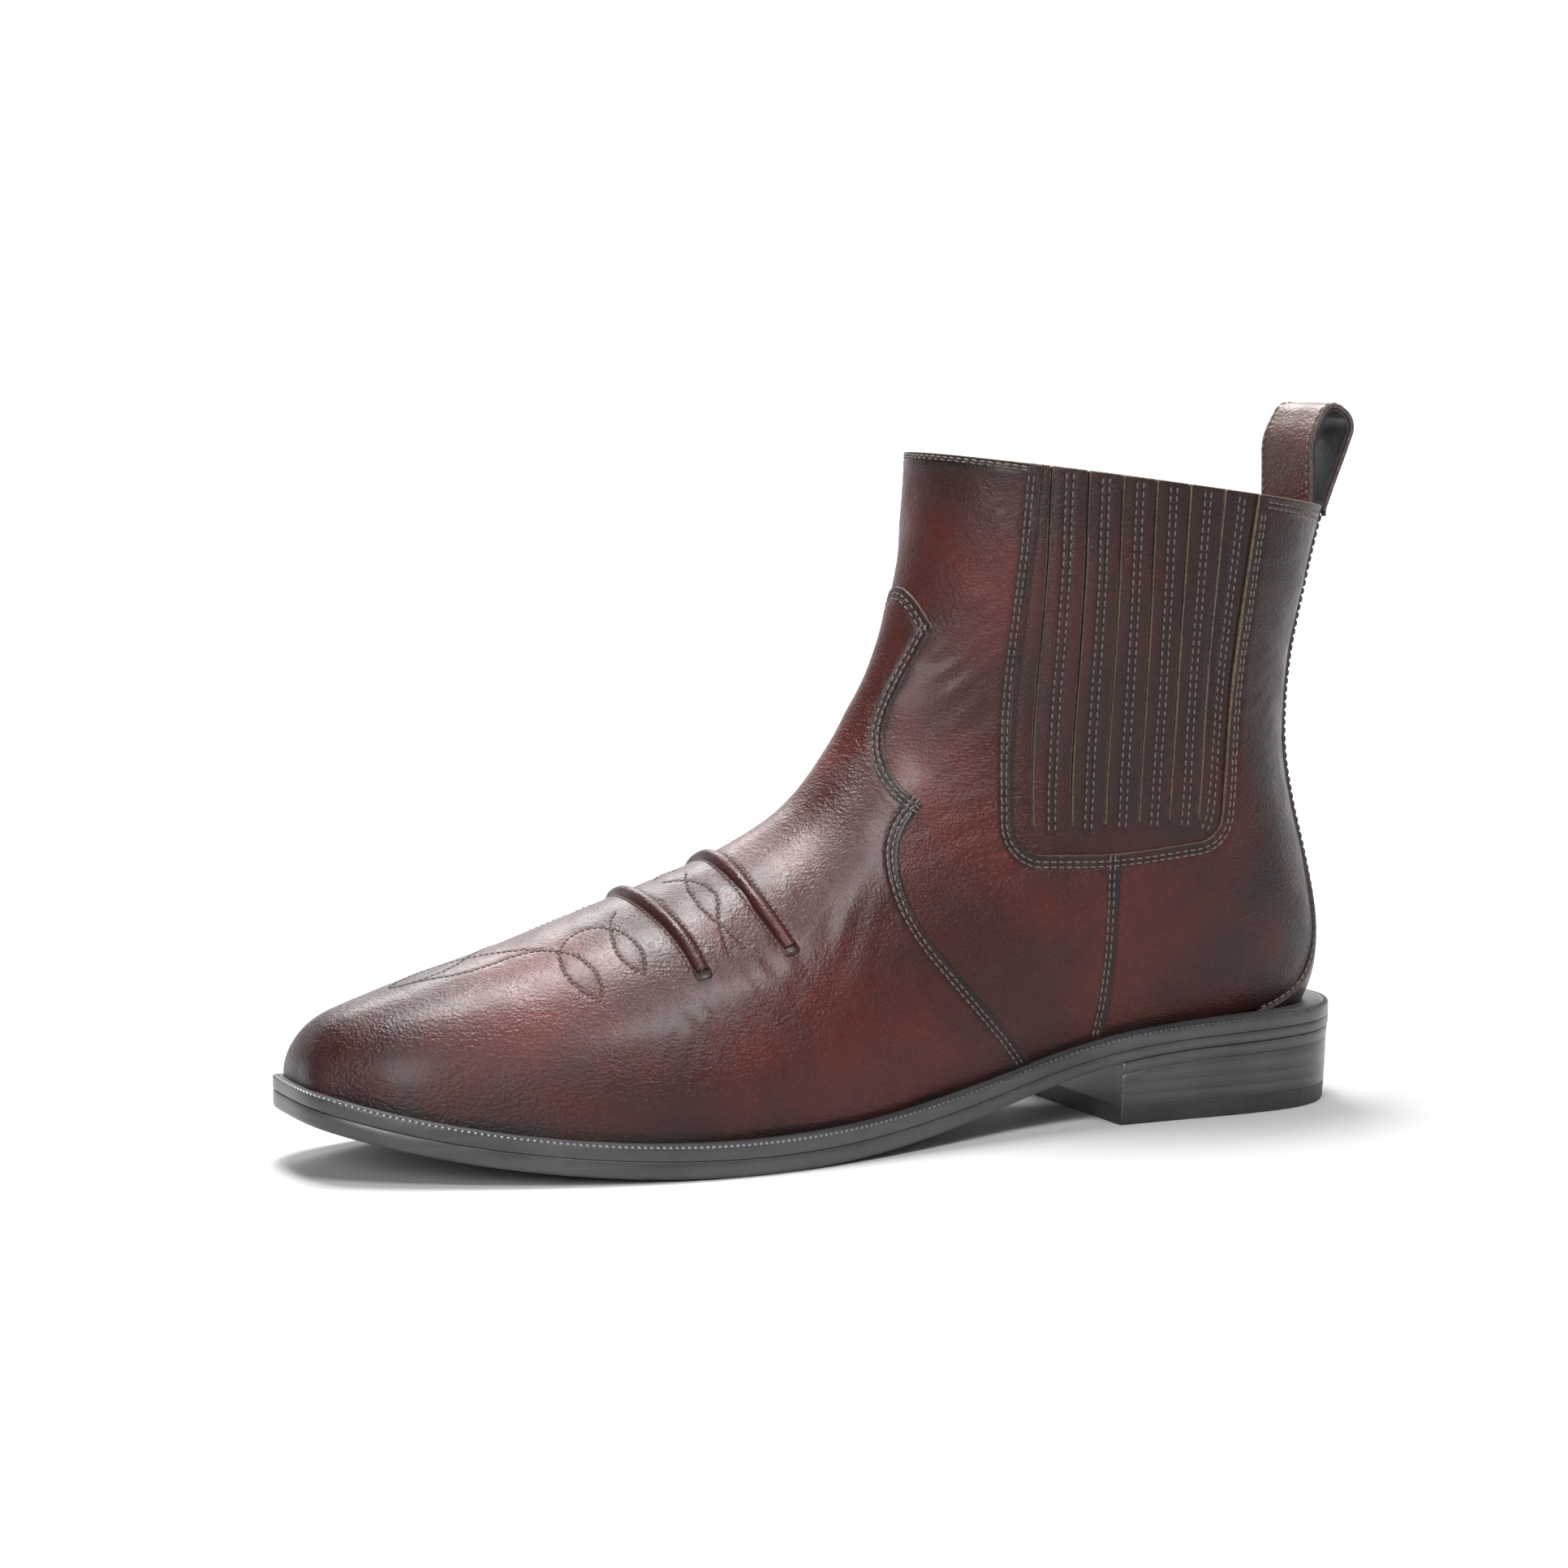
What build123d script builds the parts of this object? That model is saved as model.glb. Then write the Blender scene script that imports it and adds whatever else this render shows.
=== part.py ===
from build123d import *
import os
from math import cos, hypot, pi, sin, sqrt

# Left western ankle boot with slit-covered elastic gores, in millimetres.
# +X points to the toe, +Y to the wearer's left (the outer side), +Z up; the floor is z = 0 and
# the origin lies under the middle of the boot's length.

# ---- driving dimensions -------------------------------------------------------------------
UPPER = 1.2            # thickness of one upper leather
LINING = 1.0           # thickness of the lining leather and of the gore elastic
DEPTH_QUARTER = UPPER                  # depth of each layer's outer face under the vamp's face
DEPTH_STIFFENER = 2 * UPPER
DEPTH_LINING = 3 * UPPER
DEPTH_CAVITY = 3 * UPPER + LINING
RIDGE_HEIGHT = 1.8
RIDGE_WIDTH = 3.2
RIDGE_CORD = 1.0

WELT = 4.0             # welt thickness
INSOLE = 2.4
SOCK = 1.2
HEEL_PAD = 3.0
PAD_FRONT_X = -42.0
PAD_RAMP = 30.0         # length over which the heel pad feathers out
PAD_EDGE = 0.4          # skived front edge of the heel pad
HEEL_BREAST_X = -72.0
SEAT_LIFT = 3.2
TOP_LIFT = 5.2
HEEL_TAPER = 1.4
NAIL_RADIUS = 1.2

LOOP_WIDTH = 26.0
LOOP_LEATHER = 1.3
LOOP_LINING = 0.9
LOOP_AXIS = (-143.0, 170.0)            # hinge line of the pull loop, x and z
LOOP_TAIL_DROP = 16.0

REACH = 260.0          # longer than the boot, for cutting tools
SIDE = 90.0            # wider than the boot

# Sections of the upper from the toe to the topline. Each one lies in a plane that holds the
# Y direction: under-side point (x, z), instep-side point (x, z), half widths on the outer and
# inner side, sideways shift, height share of the widest place, roundness of the lower and
# the upper half, and the share of the wall's thickness that points along the boot at the nose.
STATIONS = [
    (151.2, 18.0, 151.2, 25.0, 7.0, 7.0, -4.5, 0.50, 2.4, 2.4, 1.0),
    (150.0, 12.5, 150.0, 31.0, 13.0, 13.5, -4.5, 0.45, 2.6, 2.4, 0.85),
    (145.5, 9.0, 145.5, 37.0, 17.5, 19.0, -4.5, 0.38, 3.0, 2.4, 0.6),
    (135.5, 5.0, 135.5, 42.5, 24.0, 25.0, -3.0, 0.34, 3.4, 2.3, 0.35),
    (116.5, 0.0, 116.5, 49.0, 32.5, 32.5, -1.5, 0.32, 3.6, 2.15, 0.2),
    (105.0, -2.3, 105.0, 52.4, 37.0, 36.0, -1.0, 0.32, 3.6, 2.07, 0.15),
    (93.5, -4.0, 93.5, 56.0, 41.0, 39.0, -0.5, 0.32, 3.6, 2.0, 0.1),
    (80.5, -4.8, 80.5, 60.4, 44.3, 41.5, -0.2, 0.32, 3.6, 1.94, 0.04),
    (67.5, -5.0, 67.5, 65.0, 46.5, 43.0, 0.0, 0.32, 3.6, 1.9, 0.0),
    (41.5, -5.0, 40.5, 74.5, 47.5, 42.0, 0.0, 0.32, 3.4, 1.85, 0.0),
    (15.5, -4.0, 18.5, 85.5, 44.0, 37.0, 0.5, 0.31, 3.2, 1.8, 0.0),
    (-16.5, 1.0, 6.0, 98.0, 38.0, 33.0, 0.5, 0.32, 3.0, 1.8, 0.0),
    (-58.5, 8.0, -3.5, 112.0, 33.0, 31.0, 0.0, 0.35, 2.8, 1.85, 0.0),
    (-110.5, 14.0, -10.0, 124.0, 31.5, 31.5, 0.0, 0.40, 2.6, 1.9, 0.0),
    (-126.8, 17.0, -11.9, 128.5, 31.8, 31.8, 0.0, 0.41, 2.48, 1.95, 0.0),
    (-140.0, 24.0, -14.0, 134.0, 32.5, 32.5, 0.0, 0.42, 2.35, 2.0, 0.0),
    (-146.5, 46.0, -17.0, 143.0, 34.0, 34.0, 0.0, 0.45, 2.2, 2.05, 0.0),
    (-142.0, 72.0, -19.0, 151.0, 35.5, 35.5, 0.0, 0.47, 2.0, 2.1, 0.0),
    (-136.5, 99.0, -20.5, 159.0, 37.0, 37.0, 0.0, 0.48, 1.95, 2.1, 0.0),
    (-137.5, 124.0, -21.5, 167.0, 38.5, 38.5, 0.0, 0.49, 2.0, 2.1, 0.0),
    (-142.0, 146.0, -22.2, 175.0, 39.5, 39.5, 0.0, 0.49, 2.05, 2.1, 0.0),
    (-147.0, 166.0, -22.5, 182.5, 40.5, 40.5, 0.0, 0.50, 2.1, 2.1, 0.0),
]
SECTION_POINTS = 24
HEEL_STATION = 15      # the section where the foot's loft meets the shaft's

# Ground line of the outsole in side view and the thickness of outsole and welt together.
SOLE_LINE = [
    (170.0, 20.5, 8.7), (154.0, 15.0, 8.7), (126.5, 7.6, 8.7), (96.5, 2.8, 8.7),
    (66.5, 0.5, 8.7), (41.5, 0.0, 8.7), (16.5, 0.8, 8.7), (-8.5, 3.6, 8.5), (-33.5, 8.6, 8.0),
    (-56.5, 14.2, 7.6), (-74.5, 17.6, 7.2), (-110.5, 20.0, 7.1), (-151.5, 21.0, 7.0),
    (-170.0, 21.2, 7.0),
]

# Outline of the sole seen from above, from the heel along the outer side to the toe and back.
SOLE_OUTLINE = [
    (-151.0, 0.0), (-147.5, 13.0), (-137.5, 24.0), (-120.5, 29.5), (-98.5, 30.5),
    (-73.5, 30.8), (-43.5, 33.0), (-13.5, 39.5), (16.5, 47.2), (43.5, 51.5), (71.5, 50.0),
    (99.5, 42.5), (123.5, 33.0), (141.5, 23.5), (150.5, 15.5), (154.0, -4.5), (152.0, -20.0),
    (146.5, -27.0), (131.5, -35.0), (109.5, -42.5), (86.5, -47.0), (61.5, -49.0),
    (36.5, -46.0), (6.5, -37.5), (-23.5, -30.0), (-53.5, -27.5), (-78.5, -29.5),
    (-98.5, -30.5), (-120.5, -29.5), (-137.5, -24.0), (-147.5, -13.0),
]
# Outline of the bottom filler, about 17 mm inside the sole's: the leathers' turned-in margins
# and the welt's inner lip lie between the two.
FILLER_OUTLINE = [
    (-134.0, 0.0), (-129.0, 9.0), (-118.0, 12.8), (-98.5, 13.5), (-73.5, 13.8), (-43.5, 16.0),
    (-13.5, 22.5), (16.5, 30.2), (43.5, 34.5), (71.5, 33.0), (99.5, 26.0), (119.0, 17.0),
    (132.0, 7.0), (136.0, -5.0), (131.0, -14.5), (112.0, -24.0), (88.0, -29.8),
    (61.5, -32.0), (36.5, -29.0), (6.5, -20.5), (-23.5, -13.0), (-53.5, -10.8),
    (-78.5, -12.6), (-98.5, -13.5), (-118.0, -12.8), (-129.0, -9.0),
]

# Side view (x, z) of the panel edges.
VAMP_EDGE_TOP = [(-12.0, 162.0), (-22.0, 136.0)]
VAMP_EDGE_MIDDLE = [(-22.0, 136.0), (-13.5, 119.0), (-7.6, 103.0), (-9.2, 95.6), (-15.0, 90.0)]
VAMP_EDGE_LOW = [(-15.0, 90.0), (-6.5, 80.0), (-6.0, 67.0), (-18.5, 47.0), (-41.6, 21.7),
                 (-58.0, 2.0)]
VAMP_OVERLAP = 14.0
GORE_CORNERS = [(-46.0, 194.0), (-42.3, 140.0), (-39.2, 75.8), (-70.6, 74.3), (-100.8, 77.3),
                (-105.0, 125.0), (-112.0, 194.0)]
GORE_FILLETS = [150.0, 8.0, 150.0, 8.0, 150.0]
GORE_COVER_LAP = 6.0
GORE_ELASTIC_LAP = 8.0
SIDE_SEAM = [(-70.6, 76.0), (-70.2, 60.0), (-68.3, 35.0), (-64.0, 2.0)]
SLIT_TOPS = [-47.4, -57.0, -66.4, -76.2, -86.6, -98.2]
SLIT_BOTTOMS = [-45.6, -56.6, -66.2, -75.8, -84.6, -93.6]
SLIT_BOTTOM_Z = 83.0
SLIT_WIDTH = 0.8
BACK_STRAP_HALF_WIDTHS = [(9.5, 190.0), (9.0, 120.0), (10.0, 82.0), (14.0, 52.0), (21.0, 30.0),
                          (30.0, 10.0)]
TOPLINE_SLOPE = (182.5 - 166.0) / (147.0 - 22.5)
TOPLINE_TAPE = 9.0
RIDGE_LINES = {
    "front": [(62.5, 76.0), (60.5, 68.0), (57.7, 62.5), (54.5, 51.0)],
    "rear": [(37.5, 84.0), (36.5, 75.0), (34.8, 68.0), (30.0, 56.0)],
}

os.makedirs("parts", exist_ok=True)


def save(builder, name):
    builder.part.label = name
    export_step(builder.part, f"parts/{name}.step")


# ---- shared shapes ------------------------------------------------------------------------
def section_plane(station, depth):
    under_x, under_z, instep_x, instep_z = station[:4]
    height = hypot(instep_x - under_x, instep_z - under_z)
    along = ((instep_x - under_x) / height, (instep_z - under_z) / height)
    setback = depth * station[10]
    return Plane(origin=(under_x - setback, 0, under_z), x_dir=(0, 1, 0),
                 z_dir=(along[1], 0, -along[0]))


def section_points(station, depth):
    """Rounded closed section, as (across, along) points at even angles."""
    under_x, under_z, instep_x, instep_z, outer, inner, shift, share, low, high, nose = station
    height = hypot(instep_x - under_x, instep_z - under_z)
    inset = depth * sqrt(1 - nose * nose)
    points = []
    for step in range(SECTION_POINTS):
        angle = 2 * pi * step / SECTION_POINTS
        c, s = cos(angle), sin(angle)
        roundness = high if s >= 0 else low
        reach = (abs(c) ** roundness + abs(s) ** roundness) ** (-1 / roundness)
        half_width = (outer if c >= 0 else inner) - inset
        half_height = height * (1 - share if s >= 0 else share) - inset
        points.append((shift + half_width * c * reach, share * height + half_height * s * reach))
    return points


def section_edge(station, depth):
    """The section as one closed edge, with the same knots in every section."""
    knots = [step / SECTION_POINTS for step in range(SECTION_POINTS + 1)]
    return Edge.make_spline(section_points(station, depth), periodic=True, parameters=knots)


def upper_run(stations, depth):
    with BuildPart() as run:
        for station in stations:
            with BuildSketch(section_plane(station, depth)):
                with BuildLine():
                    add(section_edge(station, depth))
                make_face()
        loft()
    return run.part


def upper_body(depth):
    """Solid bounded by the surface that lies `depth` under the vamp's outer face."""
    with BuildPart() as body:
        add(upper_run(STATIONS[:HEEL_STATION + 1], depth))
        add(upper_run(STATIONS[HEEL_STATION:], depth))
    return body.part


def between(outer, inner):
    with BuildPart() as wall:
        add(outer)
        add(inner, mode=Mode.SUBTRACT)
    return wall.part


def sole_curve(height):
    """Points at a height over the outsole's upper limit, the level of the welt's top."""
    return [(x, ground + thickness + height) for x, ground, thickness in SOLE_LINE]


def ground_curve(height):
    return [(x, ground + height) for x, ground, thickness in SOLE_LINE]


def pad_curve(height):
    """Top of the heel pad, which feathers out under the arch, raised by `height`."""
    points = []
    for x, ground, thickness in SOLE_LINE:
        swell = min(max((PAD_FRONT_X - x) / PAD_RAMP, 0), 1)
        pad = max(HEEL_PAD * swell, PAD_EDGE)
        points.append((x, ground + thickness + INSOLE + pad + height))
    return points


def layer(low_points, high_points):
    """Everything between two side-view curves that share their x positions."""
    with BuildPart() as slab:
        with BuildSketch(Plane.XZ):
            with BuildLine():
                Spline(*low_points)
                Line(low_points[-1], high_points[-1])
                Spline(*high_points)
                Line(high_points[0], low_points[0])
            make_face()
        extrude(amount=SIDE, both=True)
    return slab.part


def above(points):
    with BuildPart() as block:
        with BuildSketch(Plane.XZ):
            with BuildLine():
                Spline(*points)
                Polyline(points[-1], (points[-1][0], REACH), (points[0][0], REACH), points[0])
            make_face()
        extrude(amount=SIDE, both=True)
    return block.part


def drawn_in(outline, inset):
    """A clockwise closed outline with every point moved inwards by `inset`."""
    points = []
    for before, point, after in zip(outline[-1:] + outline[:-1], outline,
                                    outline[1:] + outline[:1]):
        run_x = after[0] - before[0]
        run_y = after[1] - before[1]
        scale = inset / hypot(run_x, run_y)
        points.append((point[0] + run_y * scale, point[1] - run_x * scale))
    return points


def plan_block(outline, low, high):
    """Upright block with a closed smooth outline, between two levels."""
    with BuildPart() as block:
        with BuildSketch(Plane.XY.offset(low)):
            with BuildLine():
                Spline(*outline, periodic=True)
            make_face()
        extrude(amount=high - low)
    return block.part


def behind_vamp_edge(shift):
    """Side-view region behind the vamp's scalloped edge, moved forwards by `shift`."""
    top = [(x + shift, z) for x, z in VAMP_EDGE_TOP]
    middle = [(x + shift, z) for x, z in VAMP_EDGE_MIDDLE]
    low = [(x + shift, z) for x, z in VAMP_EDGE_LOW]
    with BuildPart() as block:
        with BuildSketch(Plane.XZ):
            with BuildLine():
                Line(*top)
                Spline(*middle)
                Spline(*low)
                Polyline(low[-1], (low[-1][0], -20), (-REACH, -20), (-REACH, REACH),
                         (top[0][0], REACH), top[0])
            make_face()
        extrude(amount=SIDE, both=True)
    return block.part


def gore_window(lap, low, high):
    """Gore opening seen from the side, grown by `lap`, between two y positions."""
    with BuildPart() as block:
        with BuildSketch(Plane.XZ.offset(-low)):
            with BuildLine():
                FilletPolyline(*GORE_CORNERS, radius=GORE_FILLETS)
                Line(GORE_CORNERS[-1], GORE_CORNERS[0])
            make_face()
            if lap:
                offset(amount=lap, kind=Kind.INTERSECTION)
        extrude(amount=low - high)
    return block.part


def side_region(points, low=-SIDE, high=SIDE):
    """Straight-sided side-view region between two y positions."""
    with BuildPart() as block:
        with BuildSketch(Plane.XZ.offset(-low)):
            with BuildLine():
                Polyline(*points, close=True)
            make_face()
        extrude(amount=low - high)
    return block.part


def curved_region(curve, corners):
    """Side-view region closed by a smooth curve and straight corners after its end."""
    with BuildPart() as block:
        with BuildSketch(Plane.XZ):
            with BuildLine():
                Spline(*curve)
                Polyline(curve[-1], *corners, curve[0])
            make_face()
        extrude(amount=SIDE, both=True)
    return block.part


def topline_band(drop):
    """Everything higher than `drop` under the topline's plane."""
    back = (-REACH, 166.0 + TOPLINE_SLOPE * (147.0 - REACH) - drop)
    front = (REACH, 166.0 + TOPLINE_SLOPE * (147.0 + REACH) - drop)
    return side_region([back, front, (REACH, REACH), (-REACH, REACH)])


def toe_ridge_strip(line, width):
    front = [(x + width / 2, z) for x, z in line]
    rear = [(x - width / 2, z) for x, z in reversed(line)]
    return side_region(front + rear)


face = upper_body(0)
quarter_face = upper_body(DEPTH_QUARTER)
stiffener_face = upper_body(DEPTH_STIFFENER)
lining_face = upper_body(DEPTH_LINING)
cavity = upper_body(DEPTH_CAVITY)

feather = sole_curve(0)
over_feather = above(feather)
core = plan_block(FILLER_OUTLINE, -20, 60)

outer_wall = between(face, quarter_face)
quarter_wall = between(quarter_face, stiffener_face)
stiffener_wall = between(stiffener_face, lining_face)
lining_wall = between(lining_face, cavity)


def lasted(wall, inside, turn):
    """A wall with its bottom edge turned in `turn` leathers under the insole."""
    with BuildPart() as piece:
        add(wall)
        add(above(sole_curve(-turn * UPPER)), mode=Mode.INTERSECT)
        with BuildPart(mode=Mode.PRIVATE) as margin:
            add(inside)
            add(layer(sole_curve(-turn * UPPER), sole_curve((1 - turn) * UPPER)),
                mode=Mode.INTERSECT)
            add(core, mode=Mode.SUBTRACT)
        add(margin.part)
    return piece.part


outer_skin = lasted(outer_wall, quarter_face, 2)
quarter_skin = lasted(quarter_wall, stiffener_face, 1)

# ---- outer leathers -----------------------------------------------------------------------
behind_edge = behind_vamp_edge(0)

with BuildPart() as vamp:
    add(outer_skin)
    add(behind_edge, mode=Mode.SUBTRACT)
save(vamp, "vamp")

with BuildPart() as back_strap:
    add(outer_skin)
    with BuildSketch(Plane.YZ.offset(-100)):
        with BuildLine():
            Spline(*BACK_STRAP_HALF_WIDTHS)
            Spline(*[(-y, z) for y, z in BACK_STRAP_HALF_WIDTHS])
            Line(BACK_STRAP_HALF_WIDTHS[0], (-BACK_STRAP_HALF_WIDTHS[0][0], 190.0))
            Line(BACK_STRAP_HALF_WIDTHS[-1], (-BACK_STRAP_HALF_WIDTHS[-1][0], 10.0))
        make_face()
    extrude(amount=-REACH, mode=Mode.INTERSECT)
save(back_strap, "back_strap")

behind_overlap = behind_vamp_edge(VAMP_OVERLAP)
behind_seam = curved_region(SIDE_SEAM, [(-REACH, 2.0), (-REACH, 195.0), (-70.6, 195.0)])
gore_opening = gore_window(0, -SIDE, SIDE)

with BuildPart() as shaft_front_panel:
    add(quarter_skin)
    add(behind_overlap, mode=Mode.INTERSECT)
    add(behind_seam, mode=Mode.SUBTRACT)
    add(gore_opening, mode=Mode.SUBTRACT)
save(shaft_front_panel, "shaft_front_panel")

for side_name, low, high in (("outer", 0, SIDE), ("inner", -SIDE, 0)):
    with BuildPart() as quarter:
        add(quarter_skin)
        add(behind_seam, mode=Mode.INTERSECT)
        add(gore_opening, mode=Mode.SUBTRACT)
        add(side_region([(-REACH, -20), (0, -20), (0, REACH), (-REACH, REACH)], low, high),
            mode=Mode.INTERSECT)
    save(quarter, f"{side_name}_quarter")

with BuildPart() as vamp_doubler:
    add(quarter_skin)
    add(behind_overlap, mode=Mode.SUBTRACT)
save(vamp_doubler, "vamp_doubler")

for ridge_name, line in RIDGE_LINES.items():
    with BuildPart() as ridge_cord:
        add(between(upper_body(-RIDGE_CORD), face))
        add(toe_ridge_strip(line, RIDGE_WIDTH - 1.4), mode=Mode.INTERSECT)
    save(ridge_cord, f"{ridge_name}_ridge_cord")
    with BuildPart() as toe_ridge:
        add(between(upper_body(-RIDGE_HEIGHT), face))
        add(toe_ridge_strip(line, RIDGE_WIDTH), mode=Mode.INTERSECT)
        add(ridge_cord.part, mode=Mode.SUBTRACT)
    save(toe_ridge, f"{ridge_name}_toe_ridge")

# ---- gores --------------------------------------------------------------------------------
for side_name, low, high in (("outer", 5, SIDE), ("inner", -SIDE, -5)):
    with BuildPart() as gore_cover:
        add(stiffener_wall)
        add(gore_window(GORE_COVER_LAP, low, high), mode=Mode.INTERSECT)
        for top_x, bottom_x in zip(SLIT_TOPS, SLIT_BOTTOMS):
            slope = (top_x - bottom_x) / (180.0 - SLIT_BOTTOM_Z)
            end_x = bottom_x + slope * (200.0 - SLIT_BOTTOM_Z)
            half = SLIT_WIDTH / 2
            add(side_region([(bottom_x - half, SLIT_BOTTOM_Z), (bottom_x + half, SLIT_BOTTOM_Z),
                             (end_x + half, 200.0), (end_x - half, 200.0)]), mode=Mode.SUBTRACT)
    save(gore_cover, f"{side_name}_gore_cover")
    with BuildPart() as gore_elastic:
        add(lining_wall)
        add(gore_window(GORE_ELASTIC_LAP, low, high), mode=Mode.INTERSECT)
    save(gore_elastic, f"{side_name}_gore_elastic")

# ---- stiffeners, tape and backing ---------------------------------------------------------
with BuildPart() as inner_layer:
    add(stiffener_wall)
    add(over_feather, mode=Mode.INTERSECT)

puff_region = curved_region([(84.0, 2.0), (90.0, 30.0), (104.0, 75.0)],
                            [(REACH, 75.0), (REACH, 2.0)])
with BuildPart() as toe_puff:
    add(inner_layer.part)
    add(puff_region, mode=Mode.INTERSECT)
save(toe_puff, "toe_puff")

counter_region = curved_region([(-60.0, 8.0), (-74.0, 32.0), (-95.0, 50.0), (-125.0, 62.0),
                                (-160.0, 68.0)], [(-REACH, 68.0), (-REACH, 8.0)])
with BuildPart() as heel_counter:
    add(inner_layer.part)
    add(counter_region, mode=Mode.INTERSECT)
save(heel_counter, "heel_counter")

with BuildPart() as tail_pocket:
    with BuildSketch(Plane.YZ.offset(-100)):
        with Locations((0, 170.0)):
            Rectangle(LOOP_WIDTH, 2 * (LOOP_TAIL_DROP + 4))
    extrude(amount=-REACH)

with BuildPart() as pull_loop_tail:
    add(stiffener_wall)
    add(tail_pocket.part, mode=Mode.INTERSECT)
    with BuildPart(mode=Mode.PRIVATE) as stub:
        with BuildSketch(Plane.XZ):
            with Locations((LOOP_AXIS[0], LOOP_AXIS[1] - 4.2)):
                Rectangle(3.2, 4.0)
        extrude(amount=LOOP_WIDTH / 2, both=True)
        add(face, mode=Mode.SUBTRACT)
    add(stub.part)
save(pull_loop_tail, "pull_loop_tail")

cover_zone = gore_window(GORE_COVER_LAP, -SIDE, SIDE)
tape_band = topline_band(TOPLINE_TAPE)
with BuildPart() as topline_tape:
    add(inner_layer.part)
    add(tape_band, mode=Mode.INTERSECT)
    add(cover_zone, mode=Mode.SUBTRACT)
    add(tail_pocket.part, mode=Mode.SUBTRACT)
save(topline_tape, "topline_tape")

with BuildPart() as upper_backing:
    add(inner_layer.part)
    add(puff_region, mode=Mode.SUBTRACT)
    add(counter_region, mode=Mode.SUBTRACT)
    add(tape_band, mode=Mode.SUBTRACT)
    add(cover_zone, mode=Mode.SUBTRACT)
    add(tail_pocket.part, mode=Mode.SUBTRACT)
save(upper_backing, "upper_backing")

# ---- linings ------------------------------------------------------------------------------
elastic_zone = gore_window(GORE_ELASTIC_LAP, -SIDE, SIDE)
shaft_region = curved_region([(30.0, 190.0), (8.0, 130.0), (6.0, 80.0), (-30.0, 10.0)],
                             [(-REACH, 10.0), (-REACH, 190.0)])
with BuildPart() as lining_layer:
    add(lining_wall)
    add(over_feather, mode=Mode.INTERSECT)
    add(elastic_zone, mode=Mode.SUBTRACT)

with BuildPart() as vamp_lining:
    add(lining_layer.part)
    add(shaft_region, mode=Mode.SUBTRACT)
save(vamp_lining, "vamp_lining")

with BuildPart() as shaft_lining:
    add(lining_layer.part)
    add(shaft_region, mode=Mode.INTERSECT)
save(shaft_lining, "shaft_lining")

# ---- footbed ------------------------------------------------------------------------------
with BuildPart() as insole_board:
    add(cavity)
    add(layer(sole_curve(0), sole_curve(INSOLE)), mode=Mode.INTERSECT)
save(insole_board, "insole_board")

with BuildPart() as heel_pad:
    add(cavity)
    add(layer(sole_curve(INSOLE), pad_curve(0)), mode=Mode.INTERSECT)
    add(side_region([(-REACH, 0), (PAD_FRONT_X, 0), (PAD_FRONT_X, 60), (-REACH, 60)]),
        mode=Mode.INTERSECT)
save(heel_pad, "heel_pad")

with BuildPart() as sock_liner:
    add(cavity)
    add(layer(sole_curve(INSOLE), pad_curve(SOCK)), mode=Mode.INTERSECT)
    add(heel_pad.part, mode=Mode.SUBTRACT)
save(sock_liner, "sock_liner")

# ---- bottom -------------------------------------------------------------------------------
full_plan = plan_block(SOLE_OUTLINE, -20, 60)
with BuildPart() as steel_shank:
    add(layer(sole_curve(-1.6), sole_curve(0)))
    with BuildSketch(Plane.XY):
        with Locations((-52.0, 0)):
            SlotOverall(96.0, 14.0)
    extrude(amount=60, mode=Mode.INTERSECT)
save(steel_shank, "steel_shank")

with BuildPart() as bottom_filler:
    add(core)
    add(layer(sole_curve(-WELT), sole_curve(0)), mode=Mode.INTERSECT)
    add(steel_shank.part, mode=Mode.SUBTRACT)
save(bottom_filler, "bottom_filler")

with BuildPart() as welt:
    add(full_plan)
    add(layer(sole_curve(-WELT), sole_curve(0)), mode=Mode.INTERSECT)
    add(core, mode=Mode.SUBTRACT)
    with BuildPart(mode=Mode.PRIVATE) as margin_seat:
        add(face)
        add(above(sole_curve(-2 * UPPER)), mode=Mode.INTERSECT)
    add(margin_seat.part, mode=Mode.SUBTRACT)
save(welt, "welt")

with BuildPart() as outsole:
    add(full_plan)
    add(layer(ground_curve(0), sole_curve(-WELT)), mode=Mode.INTERSECT)
save(outsole, "outsole")


def heel_stack():
    """The heel's whole stack, from the floor up, before it is split into lifts."""
    with BuildPart() as stack:
        for height, inset in ((0, HEEL_TAPER), (24.0, 0)):
            with BuildSketch(Plane.XY.offset(height)):
                with BuildLine():
                    Spline(*drawn_in(SOLE_OUTLINE, inset), periodic=True)
                make_face()
                with Locations((REACH / 2 + HEEL_BREAST_X, 0)):
                    Rectangle(REACH, REACH, mode=Mode.SUBTRACT)
        loft(ruled=True)
    return stack.part


stack = heel_stack()
with BuildPart() as heel_top_lift:
    add(stack)
    add(side_region([(-REACH, -5), (0, -5), (0, TOP_LIFT), (-REACH, TOP_LIFT)]),
        mode=Mode.INTERSECT)
save(heel_top_lift, "heel_top_lift")

with BuildPart() as heel_seat_lift:
    add(stack)
    add(layer(ground_curve(-SEAT_LIFT), ground_curve(0)), mode=Mode.INTERSECT)
save(heel_seat_lift, "heel_seat_lift")

with BuildPart() as heel_block:
    add(stack)
    add(heel_top_lift.part, mode=Mode.SUBTRACT)
    add(above(ground_curve(-SEAT_LIFT)), mode=Mode.SUBTRACT)
save(heel_block, "heel_block")

NAIL_PLACES = [(-127.0, 0), (-117.0, 8.5), (-117.0, -8.5), (-95.0, 9.5), (-95.0, -9.5)]
with BuildPart() as heel_nails:
    with BuildSketch(Plane.XY.offset(8.0)):
        with Locations(*NAIL_PLACES):
            Circle(NAIL_RADIUS)
    extrude(amount=20.2)
save(heel_nails, "heel_nails")

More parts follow.
